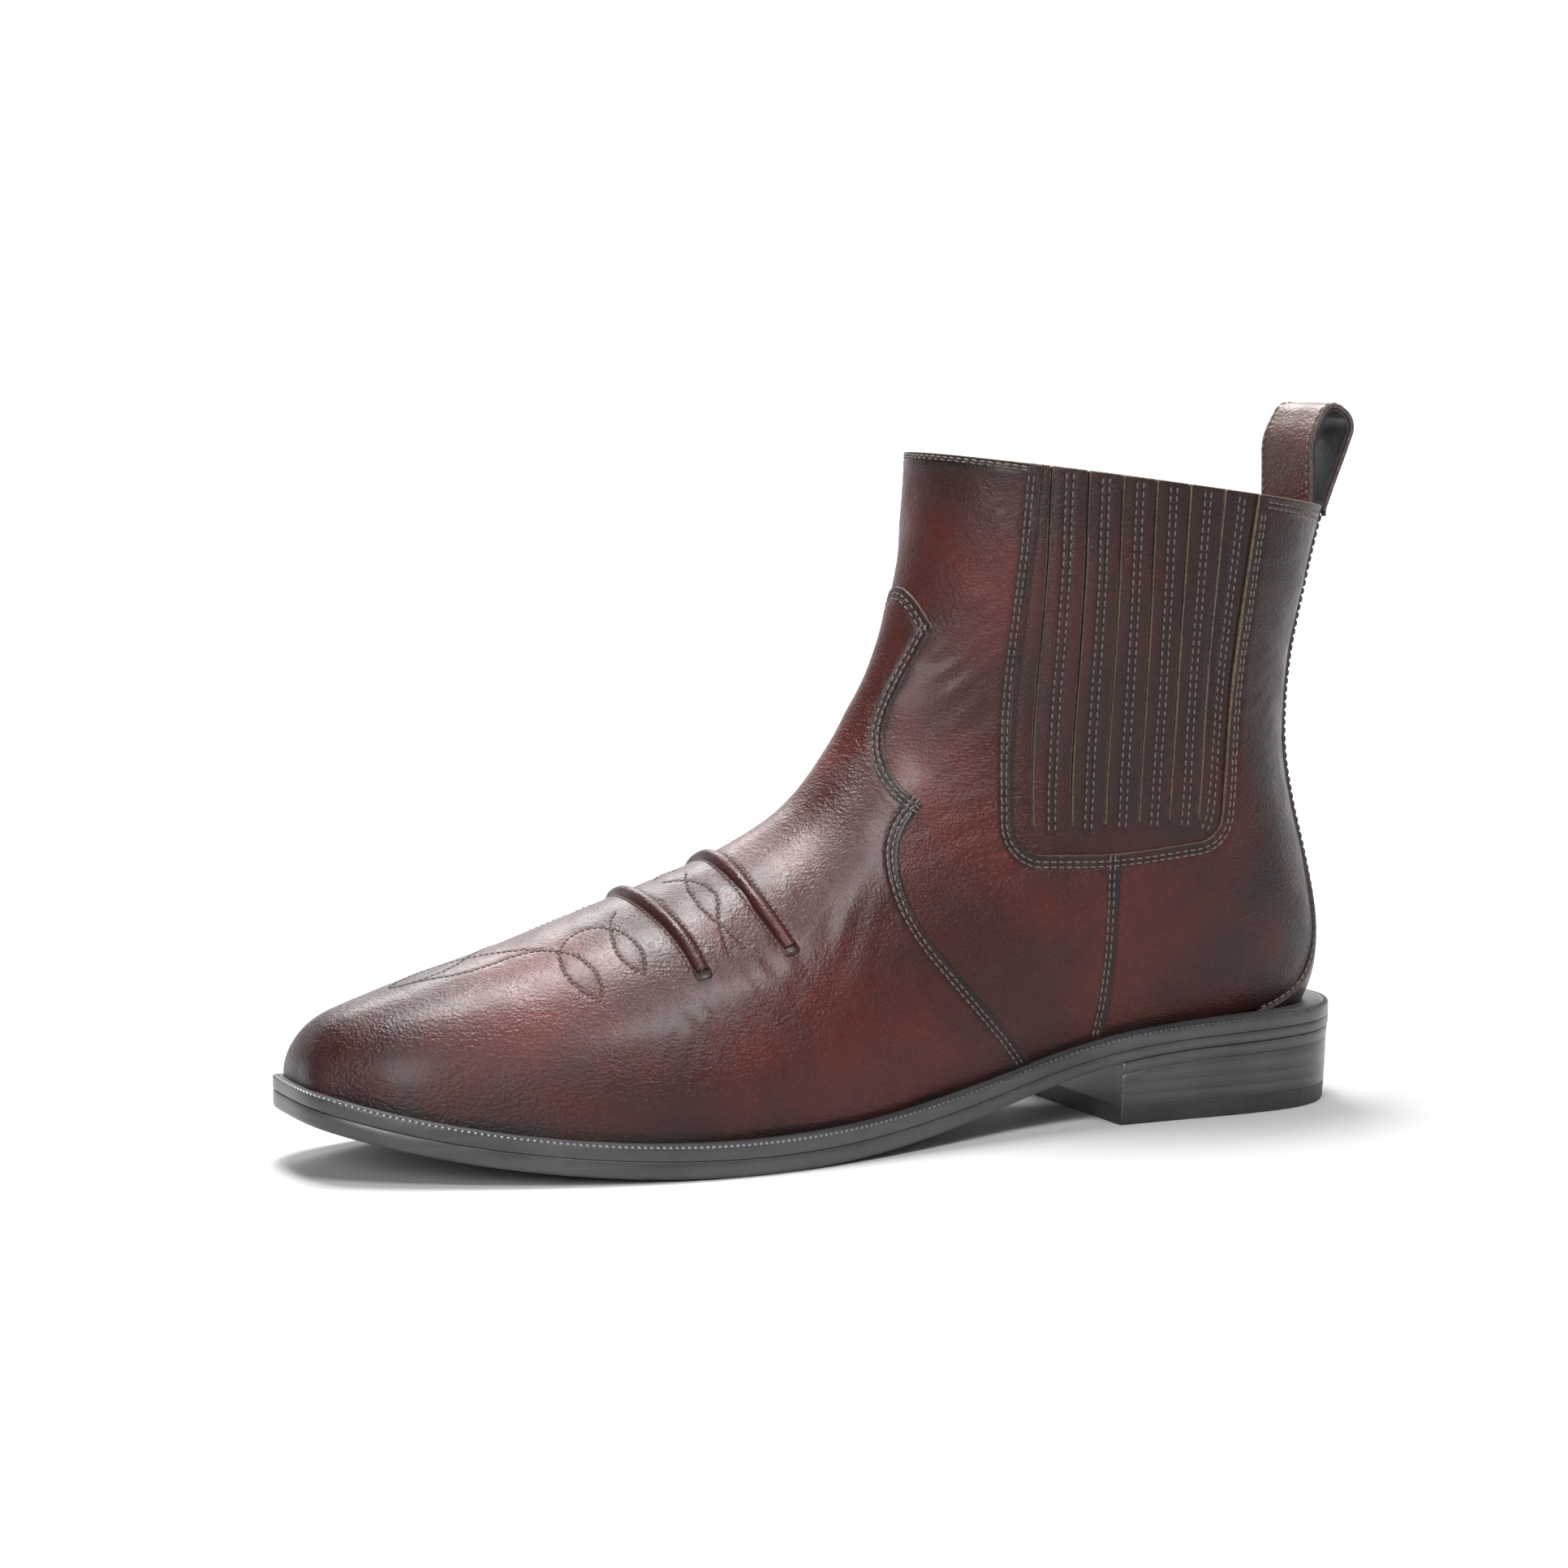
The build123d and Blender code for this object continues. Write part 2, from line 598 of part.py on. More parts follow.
# ---- pull loop ----------------------------------------------------------------------------
LOOP_CORNERS = [(-139.1, 162.0), (-138.75, 185.5), (-145.5, 197.3), (-155.0, 190.5),
                (-146.2, 162.0)]
LOOP_FILLETS = [16.0, 5.5, 6.0]


def loop_band(outer_inset, inner_inset):
    """Open teardrop band of the folded strip, cut level with the hinge line."""
    with BuildPart() as band:
        with BuildSketch(Plane.XZ):
            for inset, mode in ((outer_inset, Mode.ADD), (inner_inset, Mode.SUBTRACT)):
                with BuildSketch(Plane.XZ, mode=Mode.PRIVATE) as teardrop:
                    with BuildLine():
                        FilletPolyline(*LOOP_CORNERS, radius=LOOP_FILLETS)
                        Line(LOOP_CORNERS[-1], LOOP_CORNERS[0])
                    make_face()
                    if inset:
                        offset(amount=-inset, mode=Mode.REPLACE)
                add(teardrop.sketch_local, mode=mode)
            with Locations((LOOP_AXIS[0], LOOP_AXIS[1] - 15.0)):
                Rectangle(40.0, 30.0, mode=Mode.SUBTRACT)
        extrude(amount=LOOP_WIDTH / 2, both=True)
    return band.part


with BuildPart() as pull_loop_leather:
    add(loop_band(0, LOOP_LEATHER))
save(pull_loop_leather, "pull_loop_leather")

with BuildPart() as pull_loop_lining:
    add(loop_band(LOOP_LEATHER, LOOP_LEATHER + LOOP_LINING))
save(pull_loop_lining, "pull_loop_lining")
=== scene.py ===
import math

import bpy
import numpy as np
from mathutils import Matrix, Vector, kdtree
from mathutils.geometry import delaunay_2d_cdt


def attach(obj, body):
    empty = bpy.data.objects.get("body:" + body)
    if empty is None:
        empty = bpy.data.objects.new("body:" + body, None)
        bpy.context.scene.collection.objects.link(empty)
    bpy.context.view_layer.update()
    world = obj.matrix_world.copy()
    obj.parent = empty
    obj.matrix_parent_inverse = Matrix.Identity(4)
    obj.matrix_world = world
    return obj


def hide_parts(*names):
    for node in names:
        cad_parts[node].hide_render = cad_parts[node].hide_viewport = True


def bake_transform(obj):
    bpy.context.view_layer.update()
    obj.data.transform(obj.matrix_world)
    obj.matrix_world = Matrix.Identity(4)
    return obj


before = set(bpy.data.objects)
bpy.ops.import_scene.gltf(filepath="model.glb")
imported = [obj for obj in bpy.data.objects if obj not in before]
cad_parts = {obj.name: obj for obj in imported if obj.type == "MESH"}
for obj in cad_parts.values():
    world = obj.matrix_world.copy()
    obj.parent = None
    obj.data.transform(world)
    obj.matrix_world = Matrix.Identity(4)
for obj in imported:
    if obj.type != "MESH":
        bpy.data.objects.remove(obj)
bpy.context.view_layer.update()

# Western ankle boot. Numbers are millimetres until a mesh is made; +X toe, +Y outer side, +Z up.
MM = 0.001
ROOT = "upper_and_sole"
noise_source = np.random.default_rng(7)

# ---- sizes shared with the CAD model --------------------------------------------------------
UPPER = 1.2                     # one upper leather
WELT = 4.0                      # thickness of the welt

# Sections of the upper: under-side point, instep-side point, half widths outer and inner,
# sideways shift, height share of the widest place, roundness low and high.
STATIONS = np.array([
    (151.2, 18.0, 151.2, 25.0, 7.0, 7.0, -4.5, 0.50, 2.4, 2.4),
    (150.0, 12.5, 150.0, 31.0, 13.0, 13.5, -4.5, 0.45, 2.6, 2.4),
    (145.5, 9.0, 145.5, 37.0, 17.5, 19.0, -4.5, 0.38, 3.0, 2.4),
    (135.5, 5.0, 135.5, 42.5, 24.0, 25.0, -3.0, 0.34, 3.4, 2.3),
    (116.5, 0.0, 116.5, 49.0, 32.5, 32.5, -1.5, 0.32, 3.6, 2.15),
    (105.0, -2.3, 105.0, 52.4, 37.0, 36.0, -1.0, 0.32, 3.6, 2.07),
    (93.5, -4.0, 93.5, 56.0, 41.0, 39.0, -0.5, 0.32, 3.6, 2.0),
    (80.5, -4.8, 80.5, 60.4, 44.3, 41.5, -0.2, 0.32, 3.6, 1.94),
    (67.5, -5.0, 67.5, 65.0, 46.5, 43.0, 0.0, 0.32, 3.6, 1.9),
    (41.5, -5.0, 40.5, 74.5, 47.5, 42.0, 0.0, 0.32, 3.4, 1.85),
    (15.5, -4.0, 18.5, 85.5, 44.0, 37.0, 0.5, 0.31, 3.2, 1.8),
    (-16.5, 1.0, 6.0, 98.0, 38.0, 33.0, 0.5, 0.32, 3.0, 1.8),
    (-58.5, 8.0, -3.5, 112.0, 33.0, 31.0, 0.0, 0.35, 2.8, 1.85),
    (-110.5, 14.0, -10.0, 124.0, 31.5, 31.5, 0.0, 0.40, 2.6, 1.9),
    (-126.8, 17.0, -11.9, 128.5, 31.8, 31.8, 0.0, 0.41, 2.48, 1.95),
    (-140.0, 24.0, -14.0, 134.0, 32.5, 32.5, 0.0, 0.42, 2.35, 2.0),
    (-146.5, 46.0, -17.0, 143.0, 34.0, 34.0, 0.0, 0.45, 2.2, 2.05),
    (-142.0, 72.0, -19.0, 151.0, 35.5, 35.5, 0.0, 0.47, 2.0, 2.1),
    (-136.5, 99.0, -20.5, 159.0, 37.0, 37.0, 0.0, 0.48, 1.95, 2.1),
    (-137.5, 124.0, -21.5, 167.0, 38.5, 38.5, 0.0, 0.49, 2.0, 2.1),
    (-142.0, 146.0, -22.2, 175.0, 39.5, 39.5, 0.0, 0.49, 2.05, 2.1),
    (-147.0, 166.0, -22.5, 182.5, 40.5, 40.5, 0.0, 0.50, 2.1, 2.1),
])
# Along the sole: x, the outsole's underside, and the height from there to the welt's top.
SOLE_LINE = np.array([
    (170.0, 20.5, 8.7), (154.0, 15.0, 8.7), (126.5, 7.6, 8.7), (96.5, 2.8, 8.7),
    (66.5, 0.5, 8.7), (41.5, 0.0, 8.7), (16.5, 0.8, 8.7), (-8.5, 3.6, 8.5), (-33.5, 8.6, 8.0),
    (-56.5, 14.2, 7.6), (-74.5, 17.6, 7.2), (-110.5, 20.0, 7.1), (-151.5, 21.0, 7.0),
    (-170.0, 21.2, 7.0),
])[::-1]
# The sole seen from above, once round from the heel's back over the outer side.
SOLE_OUTLINE = np.array([
    (-151.0, 0.0), (-147.5, 13.0), (-137.5, 24.0), (-120.5, 29.5), (-98.5, 30.5),
    (-73.5, 30.8), (-43.5, 33.0), (-13.5, 39.5), (16.5, 47.2), (43.5, 51.5), (71.5, 50.0),
    (99.5, 42.5), (123.5, 33.0), (141.5, 23.5), (150.5, 15.5), (154.0, -4.5), (152.0, -20.0),
    (146.5, -27.0), (131.5, -35.0), (109.5, -42.5), (86.5, -47.0), (61.5, -49.0),
    (36.5, -46.0), (6.5, -37.5), (-23.5, -30.0), (-53.5, -27.5), (-78.5, -29.5),
    (-98.5, -30.5), (-120.5, -29.5), (-137.5, -24.0), (-147.5, -13.0),
])


# ---- curves and the boot's form -------------------------------------------------------------
def running_length(path):
    """Length along a polyline up to each of its points."""
    return np.concatenate([[0], np.cumsum(np.linalg.norm(np.diff(path, axis=0), axis=1))])


def at_lengths(spots, run, path):
    """Points of a polyline at some of its running lengths."""
    return np.stack([np.interp(spots, run, column) for column in path.T], 1)


def by_share(path, count):
    """`count` points of a polyline, evenly spread by its own point numbers."""
    return at_lengths(np.linspace(0, 1, count), np.linspace(0, 1, len(path)), path)


def unit_rows(rows, tiny=0.0):
    """Vectors, one a row, scaled to length one."""
    return rows / (np.linalg.norm(rows, axis=1)[:, None] + tiny)


def spline_weights(knots, where):
    """Rows that blend values at `knots` into a natural cubic spline's values at `where`."""
    n = len(knots)
    gap = np.diff(knots)
    left, right = np.eye(n), np.zeros((n, n))
    for i in range(1, n - 1):
        left[i, i - 1:i + 2] = gap[i - 1], 2 * (gap[i - 1] + gap[i]), gap[i]
        right[i, i - 1] = 6 / gap[i - 1]
        right[i, i] = -6 / gap[i - 1] - 6 / gap[i]
        right[i, i + 1] = 6 / gap[i]
    bend = np.linalg.solve(left, right)
    where = np.asarray(where, float)
    i = np.clip(np.searchsorted(knots, where) - 1, 0, n - 2)
    h = gap[i]
    b = (where - knots[i]) / h
    a = 1 - b
    rows = np.zeros((len(where), n))
    index = np.arange(len(where))
    rows[index, i] += a
    rows[index, i + 1] += b
    inside = (b > -1e-9) & (b < 1 + 1e-9)
    ka = np.where(inside, (a ** 3 - a), 0) * h * h / 6
    kb = np.where(inside, (b ** 3 - b), 0) * h * h / 6
    return rows + ka[:, None] * bend[i] + kb[:, None] * bend[i + 1]


def smooth_curve(points, count, closed=False):
    """`count` points on a smooth curve through `points`, evenly spread by length."""
    p = np.asarray(points, float)
    if closed:
        p = np.vstack([p[-4:], p, p[:5]])
    knots = running_length(p)
    first, last = (knots[4], knots[-5]) if closed else (knots[0], knots[-1])
    q = spline_weights(knots, np.linspace(first, last, 8 * count)) @ p
    run = running_length(q)
    return at_lengths(np.linspace(0, run[-1], count, endpoint=not closed), run, q)


def resample(path, pitch):
    """Points along a polyline, about `pitch` apart."""
    run = running_length(path)
    count = max(2, int(round(run[-1] / pitch)) + 1)
    return at_lengths(np.linspace(0, run[-1], count), run, path)


steps = (np.hypot(*np.diff(STATIONS[:, 0:2], axis=0).T)
         + np.hypot(*np.diff(STATIONS[:, 2:4], axis=0).T)) / 2
FORM_LENGTH = steps.sum()
FORM_KNOTS = np.concatenate([[0], np.cumsum(steps)])
HEEL_A, BACK_A = FORM_KNOTS[13], FORM_KNOTS[16]      # over the heel, and up the back
GIRTH = 46.0                     # length that stands for one radian round the form
FRONT_B = GIRTH * math.pi / 2    # middle line of toe, instep and front
BACK_B = -FRONT_B                # middle line of sole and back
TURN = 4 * FRONT_B               # one full turn round the form
NOSE_CAP = 7.0                   # the flat nose in front of the first section
NOSE_TIP = np.array([151.2, -4.5, 21.5]) + (0.6, 0, 0)


def form(a, b):
    """Points of the upper's surface: a runs from the toe to the topline, b = GIRTH x angle."""
    a, b = np.asarray(a, float), np.asarray(b, float)
    angle = b / GIRTH
    c, s = np.cos(angle)[None], np.sin(angle)[None]
    ux, uz, ix, iz, outer, inner, shift, share, low, high = STATIONS.T[:, :, None]
    height = np.hypot(ix - ux, iz - uz)
    roundness = np.where(s >= 0, high, low)
    reach = (np.abs(c) ** roundness + np.abs(s) ** roundness) ** (-1 / roundness)
    across = shift + np.where(c >= 0, outer, inner) * c * reach
    along = share * height + height * np.where(s >= 0, 1 - share, share) * s * reach
    x = ux + (ix - ux) / height * along
    z = uz + (iz - uz) / height * along
    rows = spline_weights(FORM_KNOTS, np.clip(a, 0, None)).T
    p = np.stack([(rows * v).sum(0) for v in (x, across, z)], 1)
    cap = np.clip(-a / NOSE_CAP, 0, 1)[:, None]
    return p + (NOSE_TIP - p) * np.sin(cap * math.pi / 2)


def on_form(ab):
    """Surface points of a path given in form coordinates."""
    return form(ab[:, 0], ab[:, 1])


def on_side(b, side):
    """A position round the outer half, or with side -1 its mirror on the inner half."""
    return b if side > 0 else 2 * FRONT_B - b


def form_frame(ab, e=0.4):
    """Surface points, the two tangents and the outward normals."""
    a, b = ab[:, 0], ab[:, 1]
    ta = (form(a + e, b) - form(a - e, b)) / (2 * e)
    tb = (form(a, b + e) - form(a, b - e)) / (2 * e)
    return form(a, b), ta, tb, unit_rows(np.cross(ta, tb), 1e-12)


def locate(xz, side):
    """(a, b) of side-view points; side is +1 for the outer half and -1 for the inner half."""
    xz = np.asarray(xz, float)
    grid_a = np.linspace(0, FORM_LENGTH * 1.02, 220)
    grid_t = np.radians(np.linspace(-90, 90, 61))
    ga, gt = (g.ravel() for g in np.meshgrid(grid_a, grid_t, indexing="ij"))
    turn = (lambda t: t) if side > 0 else (lambda t: math.pi - t)
    g = form(ga, GIRTH * turn(gt))
    best = ((g[None, :, 0] - xz[:, 0:1]) ** 2 + (g[None, :, 2] - xz[:, 1:2]) ** 2).argmin(1)
    a, t = ga[best].copy(), gt[best].copy()
    for _ in range(6):
        p = form(a, GIRTH * turn(t))[:, [0, 2]]
        pa = (form(a + 0.3, GIRTH * turn(t))[:, [0, 2]] - p) / 0.3
        pt = (form(a, GIRTH * turn(t + 0.01))[:, [0, 2]] - p) / 0.01
        miss = xz - p
        det = pa[:, 0] * pt[:, 1] - pa[:, 1] * pt[:, 0]
        det = np.where(np.abs(det) < 3.0, np.sign(det + 1e-9) * 3.0, det)
        a += np.clip((miss[:, 0] * pt[:, 1] - miss[:, 1] * pt[:, 0]) / det, -6, 6)
        t += np.clip((pa[:, 0] * miss[:, 1] - pa[:, 1] * miss[:, 0]) / det, -0.2, 0.2)
        t = np.clip(t, -math.pi / 2, math.pi / 2)
    return np.stack([a, GIRTH * turn(t)], 1)


def feather(x):
    """Level of the welt's top."""
    return spline_weights(SOLE_LINE[:, 0], x) @ (SOLE_LINE[:, 1] + SOLE_LINE[:, 2])


def ground(x):
    """Level of the outsole's underside."""
    return spline_weights(SOLE_LINE[:, 0], x) @ SOLE_LINE[:, 1]


def path_on_form(ab, spacing=0.6):
    """A polyline on the form with points evenly spread by their real distance."""
    run = running_length(ab)
    q = at_lengths(np.linspace(0, run[-1], max(8, int(run[-1] / 0.5))), run, ab)
    real = running_length(on_form(q))
    return at_lengths(np.linspace(0, real[-1], max(3, int(real[-1] / spacing) + 1)), real, q)


def shift_path(ab, distance):
    """A path moved sideways on the form by a real distance, to the left as seen from outside."""
    p, ta, tb, n = form_frame(ab)
    move = np.cross(n, unit_rows(np.gradient(p, axis=0), 1e-9)) * distance
    aa, mixed, bb = (ta * ta).sum(1), (ta * tb).sum(1), (tb * tb).sum(1)
    ra, rb = (move * ta).sum(1), (move * tb).sum(1)
    det = aa * bb - mixed ** 2 + 1e-9
    return ab + np.stack([(ra * bb - rb * mixed) / det, (rb * aa - ra * mixed) / det], 1)


# ---- points, distances and meshes -------------------------------------------------------------
def ripple(p, wavelength, seed):
    """Smooth noise of about -1 to 1 from a few sine waves in seeded directions."""
    draw = np.random.default_rng(seed)
    total = np.zeros(len(p))
    for _ in range(7):
        way = draw.normal(size=3)
        way *= 2 * math.pi / (wavelength * draw.uniform(0.7, 1.5) * np.linalg.norm(way))
        total += np.sin(p @ way + draw.uniform(0, 2 * math.pi))
    return total / 3.2


def bell(x, centre, width):
    """1 at the centre, falling off smoothly over the width."""
    return np.exp(-((x - centre) / width) ** 2)


def distance_to(points, lines):
    """Distance from each point to the nearest of some polylines."""
    lines = [np.asarray(line) for line in lines]
    tree = kdtree.KDTree(sum(len(line) for line in lines))
    every, before, after = [], [], []
    for line in lines:
        start = len(every)
        for i, q in enumerate(line):
            tree.insert(q, start + i)
            every.append(q)
            before.append(start + max(i - 1, 0))
            after.append(start + min(i + 1, len(line) - 1))
    tree.balance()
    every, before, after = np.array(every), np.array(before), np.array(after)
    near = np.array([tree.find(p)[1] for p in points])
    best = np.full(len(points), 1e9)
    for other in (before[near], after[near]):
        step = every[other] - every[near]
        t = ((points - every[near]) * step).sum(1) / ((step * step).sum(1) + 1e-12)
        gap = every[near] + np.clip(t, 0, 1)[:, None] * step - points
        best = np.minimum(best, np.linalg.norm(gap, axis=1))
    return best


def make_object(name, points, faces, materials, face_slots=None, body=ROOT, sharp=40.0):
    """Mesh object from millimetre points, smooth shaded, riding on a body."""
    mesh = bpy.data.meshes.new(name)
    mesh.from_pydata((np.asarray(points) * MM).tolist(), [], [list(f) for f in faces])
    for material in materials:
        mesh.materials.append(material)
    if face_slots is not None:
        mesh.polygons.foreach_set("material_index", np.asarray(face_slots, np.int32))
    mesh.validate()
    mesh.shade_smooth()
    if sharp:
        mesh.set_sharp_from_angle(angle=math.radians(sharp))
    obj = bpy.data.objects.new(name, mesh)
    bpy.context.scene.collection.objects.link(obj)
    if body:
        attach(obj, body)
    return obj


FAR = 9.0                        # stands for no cut edge, or no sewn row, near


def paint_gaps(obj, edge, sewn):
    """Stores each vertex's distance to a cut edge and to a sewn row for the materials."""
    for name, values in (("edge_gap", edge), ("sewn_gap", sewn)):
        attribute = obj.data.attributes.new(name, "FLOAT", "POINT")
        values = np.full(len(obj.data.vertices), values, np.float32)
        attribute.data.foreach_set("value", values)


def ring_quads(rings, sides, wrap=False):
    """Quads from each ring of points to the next one, and from the last to the first."""
    return [(r * sides + k, r * sides + (k + 1) % sides,
             (r + 1) % rings * sides + (k + 1) % sides, (r + 1) % rings * sides + k)
            for r in range(rings if wrap else rings - 1) for k in range(sides)]


def grid_over(outline, spacing, stagger=0.0):
    """Grid points over a plane outline's box, every other column moved by `stagger`."""
    low, high = outline.min(0), outline.max(0)
    ga, gb = np.meshgrid(np.arange(low[0], high[0], spacing),
                         np.arange(low[1], high[1], spacing), indexing="ij")
    gb = gb + (np.arange(len(ga)) % 2)[:, None] * stagger
    return np.stack([ga.ravel(), gb.ravel()], 1)


def triangulated(points, n):
    """Points and triangles inside the closed rim that the first n of the points make."""
    made = delaunay_2d_cdt([Vector(p) for p in points], [(i, (i + 1) % n) for i in range(n)],
                           [list(range(n))], 1, 1e-5)
    return np.array([tuple(v) for v in made[0]]), np.array(made[2])


def shift_loop(loop, distance):
    """Points inside a closed loop at a real distance from it."""
    wrapped = np.vstack([loop[-3:], loop, loop[:3]])
    return shift_path(wrapped, distance)[3:-3]


EDGE_ROUND = 0.4                 # radius of a cut edge
RINGS = (0.1, 0.22, 0.42, 0.8, 1.3)             # extra points beside the rim
ROW_SIDES = (-0.75, -0.38, 0.0, 0.38, 0.75)     # and beside each sewn row
ROW_GROOVE, ROW_GROOVE_WIDTH = 0.28, 0.55       # how a row pulls the leather in
ROW_PILLOW, ROW_PILLOW_AT, ROW_PILLOW_WIDTH = 0.10, 1.5, 0.9
FINE_GROOVE, FINE_GROOVE_WIDTH = 0.2, 0.42


def panel(name, loop, level, thickness, materials, rows, swell, replaces, fine_rows=(),
          spacing=1.35, lapped=(), bare_rim=0.12):
    """One leather piece: a closed shell on the form inside `loop`, with its sewn rows sunk.

    `level` is the height of its face over the form; `swell` adds height at 3-D points. The
    fine rows are shallower, and their leather gets none of the wax and painted shade of the
    sewn rows. Edges along the `lapped` lines lie under another piece and aren't burnished. The rim
    shows bare leather `bare_rim` wide.
    """
    area = (loop[:, 0] * np.roll(loop[:, 1], -1) - np.roll(loop[:, 0], -1) * loop[:, 1]).sum()
    if area < 0:
        loop = loop[::-1]
    rim = on_form(loop)
    rim_line = np.vstack([rim, rim[:1]])
    extra = []
    for d in RINGS:
        ring = shift_loop(loop, d)
        extra.append(ring[distance_to(on_form(ring), [rim_line]) > 0.8 * d])
    for row in (*rows, *fine_rows):
        extra += [shift_path(row, d) if d else row for d in ROW_SIDES]
    row_lines = [on_form(row) for row in rows]
    fine_lines = [on_form(row) for row in fine_rows]
    grid = grid_over(loop, spacing, spacing / 2)
    grid += noise_source.uniform(-0.12, 0.12, grid.shape) * spacing
    grid = grid[distance_to(on_form(grid), [rim_line]) > 0.75 * spacing]
    grid = grid[distance_to(on_form(grid), row_lines + fine_lines) > 0.75 + 0.5 * spacing]
    ab, triangles = triangulated(np.vstack([loop, *extra, grid]), len(loop))
    p, _, _, normal = form_frame(ab)
    gap = distance_to(p, [rim_line])
    roll = np.clip(1 - gap / EDGE_ROUND, 0, 1)
    height = level - EDGE_ROUND * (1 - np.sqrt(1 - roll ** 2 + 1e-9))
    sewn = distance_to(p, row_lines)
    height -= ROW_GROOVE * bell(sewn, 0.0, ROW_GROOVE_WIDTH)
    height += ROW_PILLOW * bell(sewn, ROW_PILLOW_AT, ROW_PILLOW_WIDTH)
    if fine_lines:
        height -= FINE_GROOVE * bell(distance_to(p, fine_lines), 0.0, FINE_GROOVE_WIDTH)
    height = height + swell(p) * np.clip(gap / 2.0, 0.15, 1)
    top = p + normal * height[:, None]
    bottom = p + normal * (level - thickness)
    count = len(p)
    edges = dict.fromkeys((t[i], t[(i + 1) % 3]) for t in triangles for i in range(3))
    rim_edges = [(i, j) for i, j in edges if (j, i) not in edges]
    faces = [tuple(t) for t in triangles]
    faces += [(t[2] + count, t[1] + count, t[0] + count) for t in triangles]
    faces += [(j, i, i + count, j + count) for i, j in rim_edges]
    slots = [int(b) for b in gap[triangles].mean(1) < bare_rim]
    slots += [1] * (len(triangles) + len(rim_edges))
    obj = make_object(name, np.vstack([top, bottom]), faces, materials, slots)
    if lapped:
        shown = rim[distance_to(rim, [on_form(line) for line in lapped]) > 0.8]
        gap = distance_to(p, [q[None] for q in shown])
    paint_gaps(obj, np.concatenate([gap, np.zeros(count)]),
               np.concatenate([sewn, np.full(count, FAR)]))
    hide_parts(*replaces)


STITCH_PITCH = 2.3
THREAD = 0.29                    # half of the thread's width
SUNK = -0.2                      # a thread's middle, under the leather's face
# One stitch: rings of a capsule as share of its length, size and lift.
CAPSULE = [(-0.5, 0.0, -0.5), (-0.44, 0.62, -0.25), (-0.2, 1.0, 0.1), (0.2, 1.0, 0.1),
           (0.44, 0.62, -0.25), (0.5, 0.0, -0.5)]
CAPSULE_SIDES = 6


def stitch_steps(line, pitch):
    """Running length of a line, the places of its stitches, their middles and directions."""
    run = running_length(line)
    count = max(1, int(run[-1] / pitch))
    mids = (np.arange(count) + 0.5) * run[-1] / count
    ahead = at_lengths(mids + 0.3, run, line) - at_lengths(mids - 0.3, run, line)
    return run, mids, at_lengths(mids, run, line), ahead


def stitch_spots(row, level, pitch, swell):
    """Middles, directions and normals of the stitches along a row on the form."""
    p, _, _, normal = form_frame(path_on_form(row, 0.25))
    p = p + normal * (level + swell(p)[:, None])
    run, mids, middle, along = stitch_steps(p, pitch)
    return middle, unit_rows(along, 1e-9), at_lengths(mids, run, normal)


def stitches(name, spots, material, length=1.9, half=THREAD, body=ROOT):
    """Every stitch of some rows as one mesh of small rounded capsules, half sunk."""
    middle, along, normal = (np.vstack(part) for part in zip(*spots))
    across = unit_rows(np.cross(normal, along), 1e-9)
    up = np.cross(along, across)
    shape = []
    for at, size, lift in CAPSULE:
        for k in range(CAPSULE_SIDES):
            turn = 2 * math.pi * k / CAPSULE_SIDES
            shape.append((at * length, math.cos(turn) * size * half,
                          (math.sin(turn) * size + lift) * half))
    shape = np.array(shape)
    tilt = noise_source.uniform(-0.09, 0.09, len(middle))
    points = (middle[:, None] + along[:, None] * shape[None, :, 0:1]
              + across[:, None] * (shape[None, :, 1:2] + shape[None, :, 0:1] * tilt[:, None, None])
              + up[:, None] * shape[None, :, 2:3])
    quads = np.array(ring_quads(len(CAPSULE), CAPSULE_SIDES))
    faces = (quads[None] + np.arange(len(middle))[:, None, None] * len(shape)).reshape(-1, 4)
    obj = make_object(name, points.reshape(-1, 3), faces, [material], body=body, sharp=0)
    return obj


# ---- the panels' outlines ---------------------------------------------------------------------
VAMP_EDGE_TOP = [(-12.0, 162.0), (-22.0, 136.0)]
VAMP_EDGE_MIDDLE = [(-22.0, 136.0), (-13.5, 119.0), (-7.6, 103.0), (-9.2, 95.6), (-15.0, 90.0)]
VAMP_EDGE_LOW = [(-15.0, 90.0), (-6.5, 80.0), (-6.0, 67.0), (-18.5, 47.0), (-41.6, 21.7),
                 (-58.0, 2.0)]
GORE_CORNERS = [(-46.0, 194.0), (-42.3, 140.0), (-39.2, 75.8), (-70.6, 74.3), (-100.8, 77.3),
                (-105.0, 125.0), (-112.0, 194.0)]
GORE_FILLETS = [150.0, 8.0, 150.0, 8.0, 150.0]
SIDE_SEAM = [(-70.6, 74.4), (-70.2, 60.0), (-68.3, 35.0), (-64.0, 2.0)]
SLIT_TOPS = [-47.4, -57.0, -66.4, -76.2, -86.6, -98.2]
SLIT_BOTTOMS = [-45.6, -56.6, -66.2, -75.8, -84.6, -93.6]
SLIT_BOTTOM_Z = 83.0
SLIT_TOP_Z = 180.0
BACK_STRAP_HALF_WIDTHS = [(9.5, 190.0), (9.0, 120.0), (10.0, 82.0), (14.0, 52.0), (21.0, 30.0),
                          (30.0, 10.0)]
FEATHER_SINK = 0.6               # how far the upper goes down behind the welt


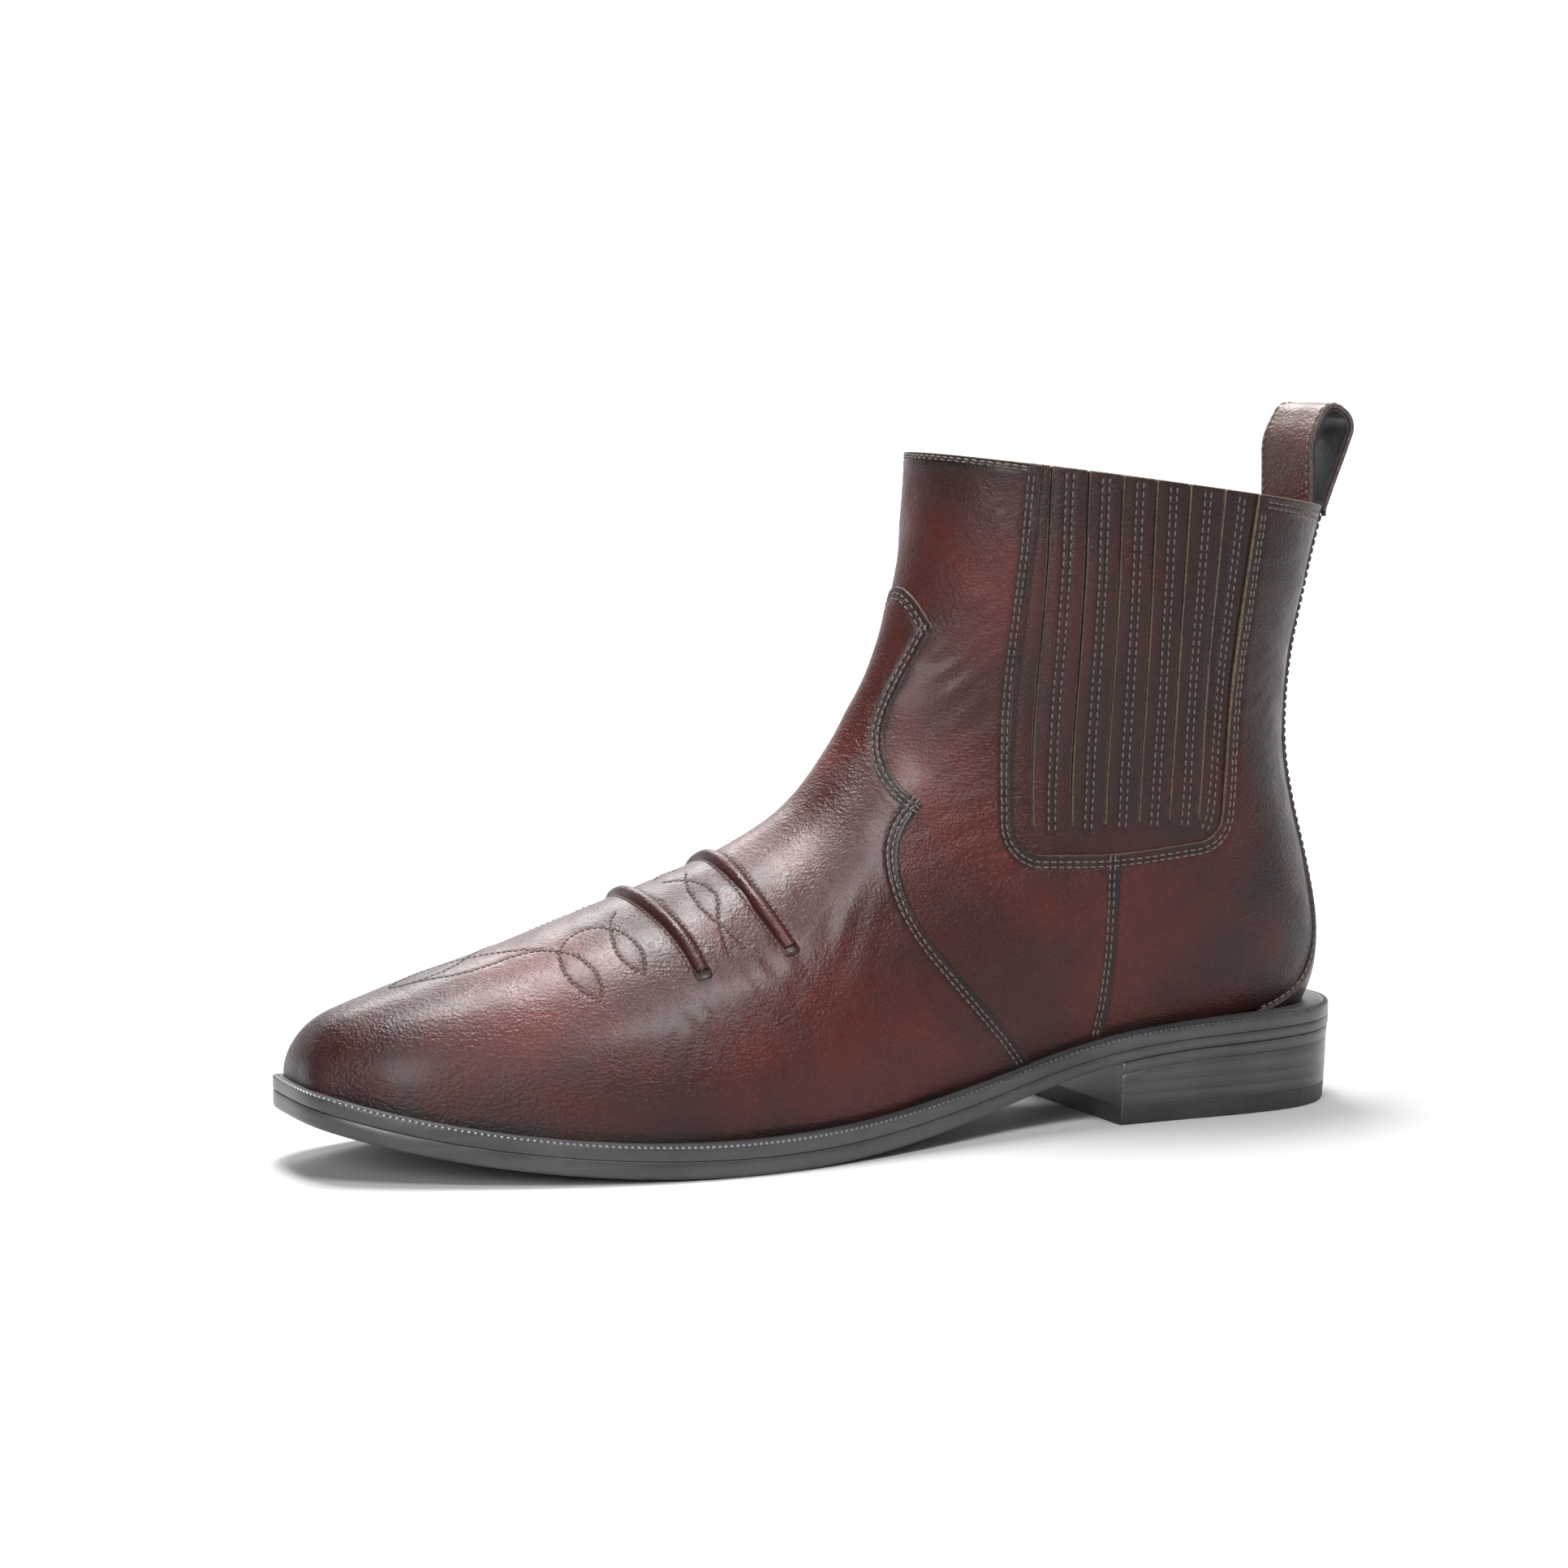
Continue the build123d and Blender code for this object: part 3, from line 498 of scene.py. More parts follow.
def filleted(corners, radii):
    """Corner points with the inner corners rounded."""
    points = [np.array(corners[0], float)]
    for before, corner, after, radius in zip(corners, corners[1:-1], corners[2:], radii):
        corner = np.array(corner, float)
        u = np.array(before) - corner
        v = np.array(after) - corner
        lu, lv = np.linalg.norm(u), np.linalg.norm(v)
        u, v = u / lu, v / lv
        half = math.acos(np.clip(u @ v, -1, 1)) / 2
        run = min(radius / math.tan(half), 0.45 * lu, 0.45 * lv)
        radius = run * math.tan(half)
        middle = corner + (u + v) / np.linalg.norm(u + v) * radius / math.sin(half)
        start, end = corner + u * run, corner + v * run
        for t in np.linspace(0, 1, 13):
            spot = start + (end - start) * t - middle
            points.append(middle + spot / np.linalg.norm(spot) * radius)
    points.append(np.array(corners[-1], float))
    return np.array(points)


def over_feather(ab):
    """Height of form points over the line where the upper meets the welt."""
    p = on_form(ab)
    return p[:, 2] - feather(p[:, 0]) + FEATHER_SINK


def cut(path, value):
    """The part of a path, from its start, up to where `value` of its points turns negative."""
    v = value(path)
    bad = np.where(v < 0)[0]
    if len(bad) == 0:
        return path
    i = bad[0]
    t = v[i - 1] / (v[i - 1] - v[i])
    return np.vstack([path[:i], path[i - 1] + (path[i] - path[i - 1]) * t])


def halve(low, high, test):
    """Where `test` changes from positive at `low` to negative at `high`."""
    for _ in range(40):
        middle = (low + high) / 2
        good = test(middle) > 0
        low, high = np.where(good, middle, low), np.where(good, high, middle)
    return (low + high) / 2


def feather_path(side):
    """The upper's lowest line from the back of the heel along one side to the nose's middle."""
    def height(a, b):
        return over_feather(np.stack([a, on_side(b, side)], 1))

    a = np.linspace(0.0, HEEL_A, 260)
    b = halve(np.full(260, FRONT_B), np.full(260, BACK_B + 0.5), lambda v: height(a, v))
    nose_b = np.linspace(b[0], FRONT_B, 30)
    nose_a = halve(np.zeros(30), np.full(30, 0.1 - NOSE_CAP), lambda v: height(v, nose_b))
    heel_b = np.linspace(BACK_B, b[-1], 40)
    heel_a = halve(np.full(40, BACK_A), np.full(40, HEEL_A - 12), lambda v: height(v, heel_b))
    whole = np.vstack([np.stack([heel_a, heel_b], 1), np.stack([a, b], 1)[::-1][1:],
                       np.stack([nose_a, nose_b], 1)[1:]])
    whole[:, 1] = on_side(whole[:, 1], side)
    return path_on_form(whole, 0.7)


def wing(side, shift=0.0):
    """The vamp's scalloped rear edge from its peak on the instep down to the feather line."""
    top, low = np.array(VAMP_EDGE_TOP)
    parts = [top + (low - top) * np.linspace(0, 1, 200)[:, None],
             smooth_curve(VAMP_EDGE_MIDDLE, 70), smooth_curve(VAMP_EDGE_LOW, 140)]
    xz = np.vstack(parts) + (shift, 0)
    instep = np.interp(xz[:, 1], STATIONS[:, 3], STATIONS[:, 2])
    first = np.where(xz[:, 0] > instep - 0.05)[0][-1] + 1
    ab = locate(xz, side)
    ab[first, 1] = FRONT_B
    breaks = [first] + [k for k in (200, 270) if k > first] + [len(ab)]
    pieces = [ab[i:j] for i, j in zip(breaks, breaks[1:])]
    pieces[-1] = cut(pieces[-1], over_feather)
    return [path_on_form(piece) for piece in pieces]


def joined(*paths):
    """One path from several that follow on, without repeated points."""
    whole = [np.asarray(paths[0])]
    for path in paths[1:]:
        path = np.asarray(path)
        whole.append(path[1:] if np.linalg.norm(path[0] - whole[-1][-1]) < 0.2 else path)
    return np.vstack(whole)


def under_topline(ab):
    """Distance of form points to the topline, for `cut`."""
    return FORM_LENGTH - ab[:, 0]


def gore(side):
    """The gore opening's edge: front part from the topline to the side seam, and rear part."""
    xz = resample(filleted(GORE_CORNERS, GORE_FILLETS), 0.7)
    ab = locate(xz, side)
    seam = np.linalg.norm(xz - np.array(SIDE_SEAM[0]), axis=1).argmin()
    front = cut(ab[:seam + 1][::-1], under_topline)[::-1]
    rear = cut(ab[seam:], under_topline)
    return path_on_form(front), path_on_form(rear)


def seam_path(side):
    """Side seam from the gore's lower edge to the feather line."""
    return path_on_form(cut(locate(smooth_curve(SIDE_SEAM, 90), side), over_feather))


def strap_edge(side):
    """Edge of the back strap from the topline down to the feather line."""
    yz = smooth_curve(BACK_STRAP_HALF_WIDTHS, 220)
    a = np.linspace(HEEL_A, FORM_LENGTH, 240)

    def outside(b):
        p = form(a, on_side(b, side))
        return np.interp(p[:, 2], yz[::-1, 1], yz[::-1, 0]) - np.abs(p[:, 1])

    b = halve(np.full(240, BACK_B), np.full(240, 0.0), outside)
    return path_on_form(cut(np.stack([a, on_side(b, side)], 1)[::-1], over_feather))


def across_topline(b0, b1):
    """Along the topline from one girth position to another."""
    return path_on_form(np.stack([np.full(60, FORM_LENGTH), np.linspace(b0, b1, 60)], 1), 0.7)


def between_points(path, start, end):
    """The stretch of a path between the points nearest to two others, in that order."""
    i = np.linalg.norm(path - start, axis=1).argmin()
    j = np.linalg.norm(path - end, axis=1).argmin()
    return path[i:j + 1] if i <= j else path[j:i + 1][::-1]


def kept_above(path, margin):
    """The part of a row that stays `margin` above the feather line."""
    return path[over_feather(path) > margin]


def kept_below(path, margin):
    """The part of a row that stays `margin` below the topline."""
    return path[path[:, 0] < FORM_LENGTH - margin]


WINGS, GORES, SEAMS, STRAPS, FEATHERS = (
    {side: outline(side) for side in (1, -1)}
    for outline in (wing, gore, seam_path, strap_edge, feather_path))


# ---- materials --------------------------------------------------------------------------------
class Shader:
    """A principled material and short ways to add nodes to it."""

    def __init__(self, name, **sockets):
        self.material = bpy.data.materials.new(name)
        self.material.use_nodes = True
        self.tree = self.material.node_tree
        self.surface = self.tree.nodes["Principled BSDF"]
        for key, value in sockets.items():
            self.surface.inputs[key.replace("_", " ")].default_value = value

    def node(self, kind, **settings):
        made = self.tree.nodes.new(kind)
        for key, value in settings.items():
            if key in made.inputs:
                made.inputs[key].default_value = value
            else:
                setattr(made, key, value)
        return made

    def link(self, source, target):
        self.tree.links.new(source, target)

    def place(self):
        """Rest position in metres."""
        return self.node("ShaderNodeNewGeometry").outputs["Position"]

    def noise(self, scale, detail=3.0, stretch=None):
        texture = self.node("ShaderNodeTexNoise", Scale=scale, Detail=detail, Roughness=0.55)
        self.link(self.stretched(stretch) if stretch else self.place(),
                  texture.inputs["Vector"])
        return texture.outputs["Fac"]

    def stretched(self, scale):
        mapping = self.node("ShaderNodeMapping")
        mapping.inputs["Scale"].default_value = scale
        self.link(self.place(), mapping.inputs["Vector"])
        return mapping.outputs["Vector"]

    def cells(self, scale):
        texture = self.node("ShaderNodeTexVoronoi", feature="SMOOTH_F1", Scale=scale)
        wobble = self.node("ShaderNodeVectorMath", operation="MULTIPLY_ADD")
        grain = self.node("ShaderNodeTexNoise", Scale=scale * 0.35, Detail=2.0)
        self.link(self.place(), grain.inputs["Vector"])
        self.link(grain.outputs["Color"], wobble.inputs[0])
        wobble.inputs[1].default_value = (0.9 / scale,) * 3
        self.link(self.place(), wobble.inputs[2])
        self.link(wobble.outputs[0], texture.inputs["Vector"])
        return texture.outputs["Distance"]

    def stored(self, name):
        return self.node("ShaderNodeAttribute", attribute_name=name).outputs["Fac"]

    def spread(self, value, from_low, from_high, to_low=0.0, to_high=1.0):
        made = self.node("ShaderNodeMapRange", interpolation_type="SMOOTHSTEP")
        self.link(value, made.inputs["Value"])
        for key, number in (("From Min", from_low), ("From Max", from_high),
                            ("To Min", to_low), ("To Max", to_high)):
            made.inputs[key].default_value = number
        return made.outputs["Result"]

    def feed(self, value, socket):
        """Sets a socket to a number or a colour, or links another node's output to it."""
        if isinstance(value, (int, float)):
            socket.default_value = value
        elif isinstance(value, tuple):
            socket.default_value = (*value, 1.0)
        else:
            self.link(value, socket)

    def math(self, operation, first, second):
        made = self.node("ShaderNodeMath", operation=operation)
        self.feed(first, made.inputs[0])
        self.feed(second, made.inputs[1])
        return made.outputs[0]

    def mix(self, share, first, second):
        made = self.node("ShaderNodeMix", data_type="RGBA")
        for i, value in ((0, share), (6, first), (7, second)):
            self.feed(value, made.inputs[i])
        return made.outputs[2]

    def axis(self, index):
        made = self.node("ShaderNodeSeparateXYZ")
        self.link(self.place(), made.inputs[0])
        return made.outputs[index]

    def colour(self, value):
        self.link(value, self.surface.inputs["Base Color"])

    def rough(self, value):
        self.link(value, self.surface.inputs["Roughness"])

    def bump(self, *layers):
        """Layers of (height, strength, depth in mm), each on top of the one before."""
        normal = None
        for height, strength, depth in layers:
            made = self.node("ShaderNodeBump", Strength=strength, Distance=depth * MM)
            self.link(height, made.inputs["Height"])
            if normal:
                self.link(normal, made.inputs["Normal"])
            normal = made.outputs["Normal"]
        self.link(normal, self.surface.inputs["Normal"])


DYE_RED = (0.078, 0.0100, 0.0058)
DYE_BROWN = (0.034, 0.0075, 0.0055)
# The dark of the burnish, also the colour of the painted shade along sewn rows and at the welt.
DARK_DYE_AND_SHADE = (0.0068, 0.0034, 0.0036)
SEAM_REACH = (4.4, 2.7)          # the dark band along cut edges fades between these: burnish, and painted shade where the upper meets the welt


def leather(name, depth=1.0, red=DYE_RED, brown=DYE_BROWN, reach=SEAM_REACH):
    """Burnished calf: red-brown, darker at toe, heel, topline, seams and cut edges, towards the
    bottom and towards the back; the darkening at the seams and at the welt is partly painted
    shade; finely pebbled.
    """
    s = Shader(name, Coat_Weight=0.12, Coat_Roughness=0.24, Specular_IOR_Level=0.26)
    cloud = s.noise(22.0, 5.0)
    base = s.mix(s.spread(cloud, 0.36, 0.66), brown, red)
    x, z = s.axis(0), s.axis(2)
    toe = s.spread(x, 0.085, 0.155)
    heel = s.math("MULTIPLY", s.spread(x, -0.085, -0.15), s.spread(z, 0.115, 0.03))
    # Darker towards the bottom by the welt: partly burnish, partly painted shade where the upper
    # meets the welt.
    welt_level = s.spread(z, 0.046, 0.010, 0.0, 0.55)
    topline = s.spread(z, 0.150, 0.185, 0.0, 0.5)
    # Darker towards the back of the boot.
    rear = s.spread(x, -0.045, -0.125, 0.0, 0.85)
    # Dark band along the shown cut edges: burnish, and painted shade along the feather line where
    # the upper meets the welt.
    seam = s.spread(s.stored("edge_gap"), *reach)
    # Darker along the sewn rows: partly the thread's wax, partly painted shade in the stitch holes
    # and grooves.
    thread = s.spread(s.stored("sewn_gap"), 1.8, 0.5, 0.0, 0.7)
    darker = toe
    for other in (heel, welt_level, topline, rear, seam, thread):
        darker = s.math("MAXIMUM", darker, other)
    patch = s.spread(s.noise(60.0, 3.0), 0.3, 0.7, 0.65, 1.1)
    darker = s.math("MULTIPLY", darker, patch)
    base = s.mix(s.math("MULTIPLY", darker, 0.9 * depth), base, DARK_DYE_AND_SHADE)
    cells = s.cells(1500.0)
    base = s.mix(s.spread(cells, 0.25, 0.62, 0.0, 0.35), base, DARK_DYE_AND_SHADE)
    s.colour(base)
    s.rough(s.spread(s.noise(140.0, 4.0), 0.3, 0.7, 0.31, 0.45))
    s.bump((s.noise(70.0, 5.0, (1.0, 1.0, 2.2)), 0.35, 0.5),
           (s.noise(650.0, 5.0, (0.7, 0.7, 2.1)), 0.75, 0.34),
           (cells, 0.8, 0.2))
    return s.material


def plain_leather(name, colour, dark, scale=900.0, roughness=(0.5, 0.65)):
    """Unburnished leather such as a lining or a cut edge."""
    s = Shader(name)
    cells = s.cells(scale)
    cloud = s.spread(s.noise(45.0, 5.0), 0.3, 0.7)
    s.colour(s.mix(s.spread(cells, 0.2, 0.7, 0.0, 0.6), s.mix(cloud, colour, dark), dark))
    s.rough(s.spread(cloud, 0.0, 1.0, *roughness))
    s.bump((s.noise(160.0, 4.0), 0.3, 0.25), (cells, 0.5, 0.15))
    return s.material


def fibre_edge(name, colour, dark):
    """Cut leather edge with loose fibres."""
    s = Shader(name)
    fibre = s.noise(2600.0, 4.0, (1.0, 1.0, 0.5))
    s.colour(s.mix(s.spread(fibre, 0.35, 0.65), dark, colour))
    s.rough(s.spread(fibre, 0.2, 0.8, 0.7, 0.9))
    s.bump((fibre, 0.7, 0.25))
    return s.material


def sole_black(name, lines, gloss=(0.3, 0.42)):
    """Waxed black edge: fine lines along it from the edge trimmer and soft wear."""
    s = Shader(name, Coat_Weight=0.18, Coat_Roughness=0.3)
    cloud = s.noise(38.0, 5.0)
    streak = s.noise(24.0, 5.0, (1.0, 1.0, lines))
    base = s.mix(s.spread(cloud, 0.3, 0.7), (0.021, 0.021, 0.023), (0.042, 0.041, 0.044))
    s.colour(s.mix(s.spread(streak, 0.42, 0.7, 0.0, 0.25), base, (0.065, 0.064, 0.067)))
    s.rough(s.spread(streak, 0.3, 0.7, *gloss))
    s.bump((streak, 0.25, 0.12), (s.noise(900.0, 3.0), 0.25, 0.06))
    return s.material


def rubber(name):
    """Matt black rubber with fine specks."""
    s = Shader(name)
    speck = s.noise(1400.0, 3.0)
    s.colour(s.mix(s.spread(s.noise(50.0, 4.0), 0.3, 0.7), (0.012, 0.012, 0.012),
                   (0.026, 0.025, 0.026)))
    s.rough(s.spread(speck, 0.3, 0.7, 0.5, 0.66))
    s.bump((speck, 0.4, 0.1), (s.noise(60.0, 4.0), 0.2, 0.2))
    return s.material


def woven(name, colour, dark, pitch):
    """Ribbed or woven cloth; pitch in millimetres."""
    s = Shader(name, Sheen_Weight=0.25, Sheen_Roughness=0.5)
    threads = []
    for size, distortion, direction in ((pitch, 0.6, "Z"), (pitch * 0.7, 0.8, "X")):
        wave = s.node("ShaderNodeTexWave", Scale=1000.0 / size / 6.283, Distortion=distortion,
                      Detail=2.0, bands_direction=direction)
        s.link(s.place(), wave.inputs["Vector"])
        threads.append(wave.outputs["Fac"])
    weave = s.math("MULTIPLY", *threads)
    cloud = s.spread(s.noise(80.0, 4.0), 0.3, 0.7, 0.0, 0.35)
    s.colour(s.mix(cloud, s.mix(weave, dark, colour), dark))
    s.rough(s.spread(weave, 0.0, 1.0, 0.88, 0.75))
    s.bump((weave, 0.7, 0.3), (s.noise(1500.0, 3.0), 0.4, 0.1))
    return s.material


def thread_wax(name, colour, light):
    """Waxed sewing thread with its twist."""
    s = Shader(name)
    twist = s.noise(3800.0, 2.0, (1.0, 1.0, 2.0))
    s.colour(s.mix(s.spread(twist, 0.4, 0.65), colour, light))
    s.rough(s.spread(twist, 0.3, 0.7, 0.4, 0.6))
    s.bump((twist, 0.5, 0.08))
    return s.material


def grained(name, colour, dark, scale, roughness, metallic=0.0, stretch=None, depth=0.2):
    """Foam, cork, board or metal: colour and height from one noise."""
    s = Shader(name, Metallic=metallic)
    grain = s.noise(scale, 5.0, stretch)
    spots = s.cells(scale * 1.6)
    mixed = s.math("MULTIPLY", s.spread(grain, 0.3, 0.7), s.spread(spots, 0.1, 0.6))
    s.colour(s.mix(mixed, colour, dark))
    s.rough(s.spread(grain, 0.3, 0.7, roughness - 0.07, roughness + 0.07))
    s.bump((grain, 0.5, depth), (spots, 0.3, depth / 2))
    return s.material


LEATHER = leather("burnished_calf")
GORE_LEATHER = leather("gore_calf", 1.0, (0.046, 0.0085, 0.0062), (0.022, 0.0058, 0.0050),
                       (1.0, 0.2))
LOOP_LEATHER_LOOK = leather("loop_calf", 0.45, (0.110, 0.036, 0.030), (0.074, 0.027, 0.022))
GREY_EDGE = fibre_edge("waxed_cut_edge", (0.085, 0.070, 0.064), (0.022, 0.016, 0.015))
DARK_EDGE = fibre_edge("dyed_cut_edge", (0.030, 0.013, 0.010), (0.008, 0.004, 0.004))
RAW_EDGE = fibre_edge("raw_cut_edge", (0.150, 0.105, 0.060), (0.045, 0.028, 0.018))
RED_LINING = plain_leather("red_lining", (0.19, 0.024, 0.020), (0.09, 0.010, 0.010))
BLACK_LINING = plain_leather("black_loop_lining", (0.034, 0.036, 0.040),
                             (0.006, 0.006, 0.007), 480.0, (0.3, 0.5))
SOCK_LEATHER = plain_leather("sock_leather", (0.055, 0.032, 0.022), (0.024, 0.014, 0.010))
SOLE_EDGE = sole_black("waxed_sole_edge", 22.0)
WELT_TOP = sole_black("welt_black", 6.0, (0.45, 0.6))
HEEL_STACK = sole_black("heel_stack_black", 90.0)
HEEL_RUBBER = rubber("heel_rubber")
OUTSOLE_FACE = sole_black("outsole_face", 3.0, (0.42, 0.58))
THREAD_DARK = thread_wax("toe_thread", (0.014, 0.008, 0.007), (0.085, 0.052, 0.042))
THREAD_GREY = thread_wax("seam_thread", (0.028, 0.020, 0.017), (0.17, 0.130, 0.110))
ELASTIC = woven("elastic_web", (0.020, 0.017, 0.015), (0.006, 0.005, 0.005), 1.1)
BACKING = woven("backing_cloth", (0.40, 0.36, 0.30), (0.26, 0.23, 0.19), 0.8)
CORD = woven("cotton_cord", (0.35, 0.30, 0.24), (0.2, 0.17, 0.13), 0.6)
BOARD = grained("stiffener_board", (0.26, 0.19, 0.12), (0.16, 0.11, 0.07), 260.0, 0.8)
FOAM = grained("latex_foam", (0.55, 0.42, 0.30), (0.38, 0.28, 0.19), 900.0, 0.85)
CORK = grained("cork_filler", (0.33, 0.20, 0.11), (0.14, 0.075, 0.04), 320.0, 0.85)
STEEL = grained("shank_steel", (0.42, 0.43, 0.45), (0.30, 0.31, 0.33), 140.0, 0.32, 1.0,
                (1.0, 14.0, 1.0), 0.05)
NAIL = grained("nail_steel", (0.38, 0.37, 0.35), (0.24, 0.22, 0.20), 900.0, 0.42, 1.0)


# ---- upper leathers ---------------------------------------------------------------------------
def folds(p, centre, size, way, wavelength, strength, seed):
    """A patch of parallel soft folds; `way` is the direction across them."""
    way = np.array(way, float)
    way /= np.linalg.norm(way)
    patch = np.exp(-(((p - np.array(centre)) / np.array(size)) ** 2).sum(1))
    phase = p @ way * 2 * math.pi / wavelength + 1.6 * ripple(p, 4.0 * wavelength, seed)
    wave = np.sin(phase)
    sharp = np.sign(wave) * np.abs(wave) ** 1.4
    return strength * patch * sharp * (0.55 + 0.45 * ripple(p, 2.5 * wavelength, seed + 1))


def hide(p):
    """The slow unevenness that any lasted leather shows."""
    return 0.16 * ripple(p, 34.0, 21) + 0.05 * ripple(p, 11.0, 22)


def folded(p, height, table):
    """Adds a table's folds to the heights of some points."""
    for fold in table:
        height = height + folds(p, *fold)
    return height


# Folds: centre, size, direction across them, wavelength, strength and seed.
VAMP_FOLDS = [
    ((44, 40, 38), (17, 20, 17), (1, 0, -0.55), 6.5, 0.30, 31),
    ((44, -36, 38), (17, 20, 17), (1, 0, -0.45), 7.0, 0.32, 32),
    ((20, 34, 55), (20, 20, 16), (0.9, 0, 0.6), 8.5, 0.22, 33),
    ((62, 40, 28), (14, 14, 12), (1, 0, 0.2), 4.5, 0.18, 34),
    ((-10, 0, 108), (14, 30, 14), (0.4, 0, 1), 9.0, 0.35, 35),
]
FRONT_FOLDS = [
    ((-27, 22, 158), (12, 20, 12), (0.5, 0, 1), 4.2, 0.26, 41),
    ((-28, 25, 120), (12, 20, 20), (0.75, 0, 1), 6.0, 0.30, 42),
    ((-30, 28, 80), (14, 20, 14), (0.3, 0, 1), 6.5, 0.26, 43),
    ((-30, -26, 118), (14, 20, 30), (0.5, 0, 1), 6.2, 0.34, 44),
    ((-52, 32, 48), (14, 20, 12), (0.8, 0, 1), 6.0, 0.20, 45),
]
QUARTER_FOLDS = [
    ((-112, 20, 112), (12, 40, 24), (0.2, 0.3, 1), 5.5, 0.26, 51),
    ((-112, -24, 112), (12, 40, 26), (0.2, -0.3, 1), 5.8, 0.28, 52),
    ((-118, 0, 150), (30, 50, 12), (0.1, 0.1, 1), 6.5, 0.16, 53),
]


def vamp_swell(p):
    return folded(p, hide(p) * np.clip((120 - p[:, 0]) / 60, 0.25, 1), VAMP_FOLDS)


def front_swell(p):
    return folded(p, hide(p) * 1.4, FRONT_FOLDS)


def quarter_swell(p):
    return folded(p, hide(p), QUARTER_FOLDS)


def strap_swell(p):
    return 0.6 * hide(p) + 0.35 * bell(np.abs(p[:, 1]), 0, 5.0)


NOSE = FEATHERS[1][-1]


def inward_rows(path, distances, side):
    """Rows beside a path, on the side of it that `side` says: +1 is left of travel."""
    return [path_on_form(shift_path(path, side * d)) for d in distances]


def ridge_path(points):
    """A ridge's line over the instep, from its outer end to its inner end."""
    xz = smooth_curve(points, 60)
    instep = np.interp(xz[:, 1], STATIONS[:, 3], STATIONS[:, 2])
    outer, inner = (locate(xz[xz[:, 0] < instep - 0.02], side) for side in (1, -1))
    top = (outer[0] + inner[0]) / 2
    top[1] = FRONT_B
    return path_on_form(np.vstack([outer[::-1], top[None], inner]), 0.5)


def from_space(points, side=1):
    """Form coordinates of points given in space; side -1 mirrors them over."""
    ga, gb = (g.ravel() for g in np.meshgrid(
        np.linspace(20, 200, 361), np.linspace(-10, 2 * FRONT_B + 10, 420), indexing="ij"))
    surface = form(ga, gb)
    nearest = [((surface - q) ** 2).sum(1).argmin() for q in np.array(points, float)]
    return np.stack([ga[nearest], on_side(gb[nearest], side)], 1)


RIDGES = {
    "front": ridge_path([(62.5, 76.0), (60.5, 68.0), (57.7, 62.5), (54.5, 51.0)]),
    "rear": ridge_path([(37.5, 84.0), (36.5, 75.0), (34.8, 68.0), (30.0, 56.0)]),
}

# Toe medallion: one sewn line per entry, as points in space on the outer side.
LONG_LEAF = [(86.0, 14.9, 55.6), (92.4, 8.1, 55.5), (103.6, -2.2, 52.9), (115.1, -8.0, 48.9),
             (125.5, -4.5, 46.1), (119.0, 1.5, 48.2), (111.5, 6.3, 49.9), (100.2, 8.5, 53.1),
             (91.4, 10.5, 55.7), (86.0, 14.9, 55.6)]
LEAF_1 = [(86.0, 14.9, 55.6), (87.3, 20.9, 52.2), (85.3, 28.4, 47.5), (81.5, 32.8, 44.7)]
LEAF_1_BACK = [(81.5, 32.8, 44.7), (80.0, 29.0, 49.2), (81.2, 23.1, 53.2), (83.8, 17.3, 55.3),
               (86.0, 14.9, 55.6)]
LEAF_2 = [(71.6, 14.5, 60.8), (73.0, 20.1, 57.8), (72.0, 27.6, 53.2), (68.8, 31.7, 50.7)]
LEAF_2_BACK = [(68.8, 31.7, 50.7), (67.5, 27.6, 54.7), (68.3, 21.3, 58.7), (70.3, 16.3, 60.5),
               (71.6, 14.5, 60.8)]
LINK = [(86.0, 14.9, 55.6), (81.3, 10.9, 58.6), (76.2, 10.7, 60.4), (71.6, 14.5, 60.8)]
LINK_END = [(71.6, 14.5, 60.8), (69.6, 11.0, 62.6), (67.2, 8.6, 64.1)]
RIBBON_1 = [(45.4, 3.4, 72.4), (47.9, 10.0, 69.6), (48.4, 18.0, 66.0), (45.8, 26.8, 61.7),
            (43.0, 31.0, 58.6), (41.2, 34.0, 55.9)]
RIBBON_2 = [(51.8, 3.2, 70.1), (45.8, 9.8, 70.2), (43.0, 18.0, 67.0), (45.8, 26.8, 61.7),
            (46.2, 30.5, 58.8), (46.0, 33.7, 54.8)]
RIBBON_TAIL = [(41.2, 34.0, 55.9), (44.1, 32.4, 57.4), (46.0, 33.7, 54.8)]
MEDALLION = []
for side in (1, -1):
    for line in (LEAF_1, LEAF_1_BACK, LEAF_2, LEAF_2_BACK, LINK, LINK_END, RIBBON_1, RIBBON_2,
                 RIBBON_TAIL):
        smooth = smooth_curve(line, 40) if len(line) > 3 else np.array(line)
        MEDALLION.append(path_on_form(from_space(smooth, side)))
long_leaf = from_space(smooth_curve(LONG_LEAF, 120))
MEDALLION.append(path_on_form(long_leaf))
long_inner = long_leaf.copy()
long_inner[:, 1] = 2 * FRONT_B - long_inner[:, 1] + 6.0
MEDALLION.append(path_on_form(long_inner))


BORDER_ROWS = (1.9, 3.3)         # the two rows beside a cut edge


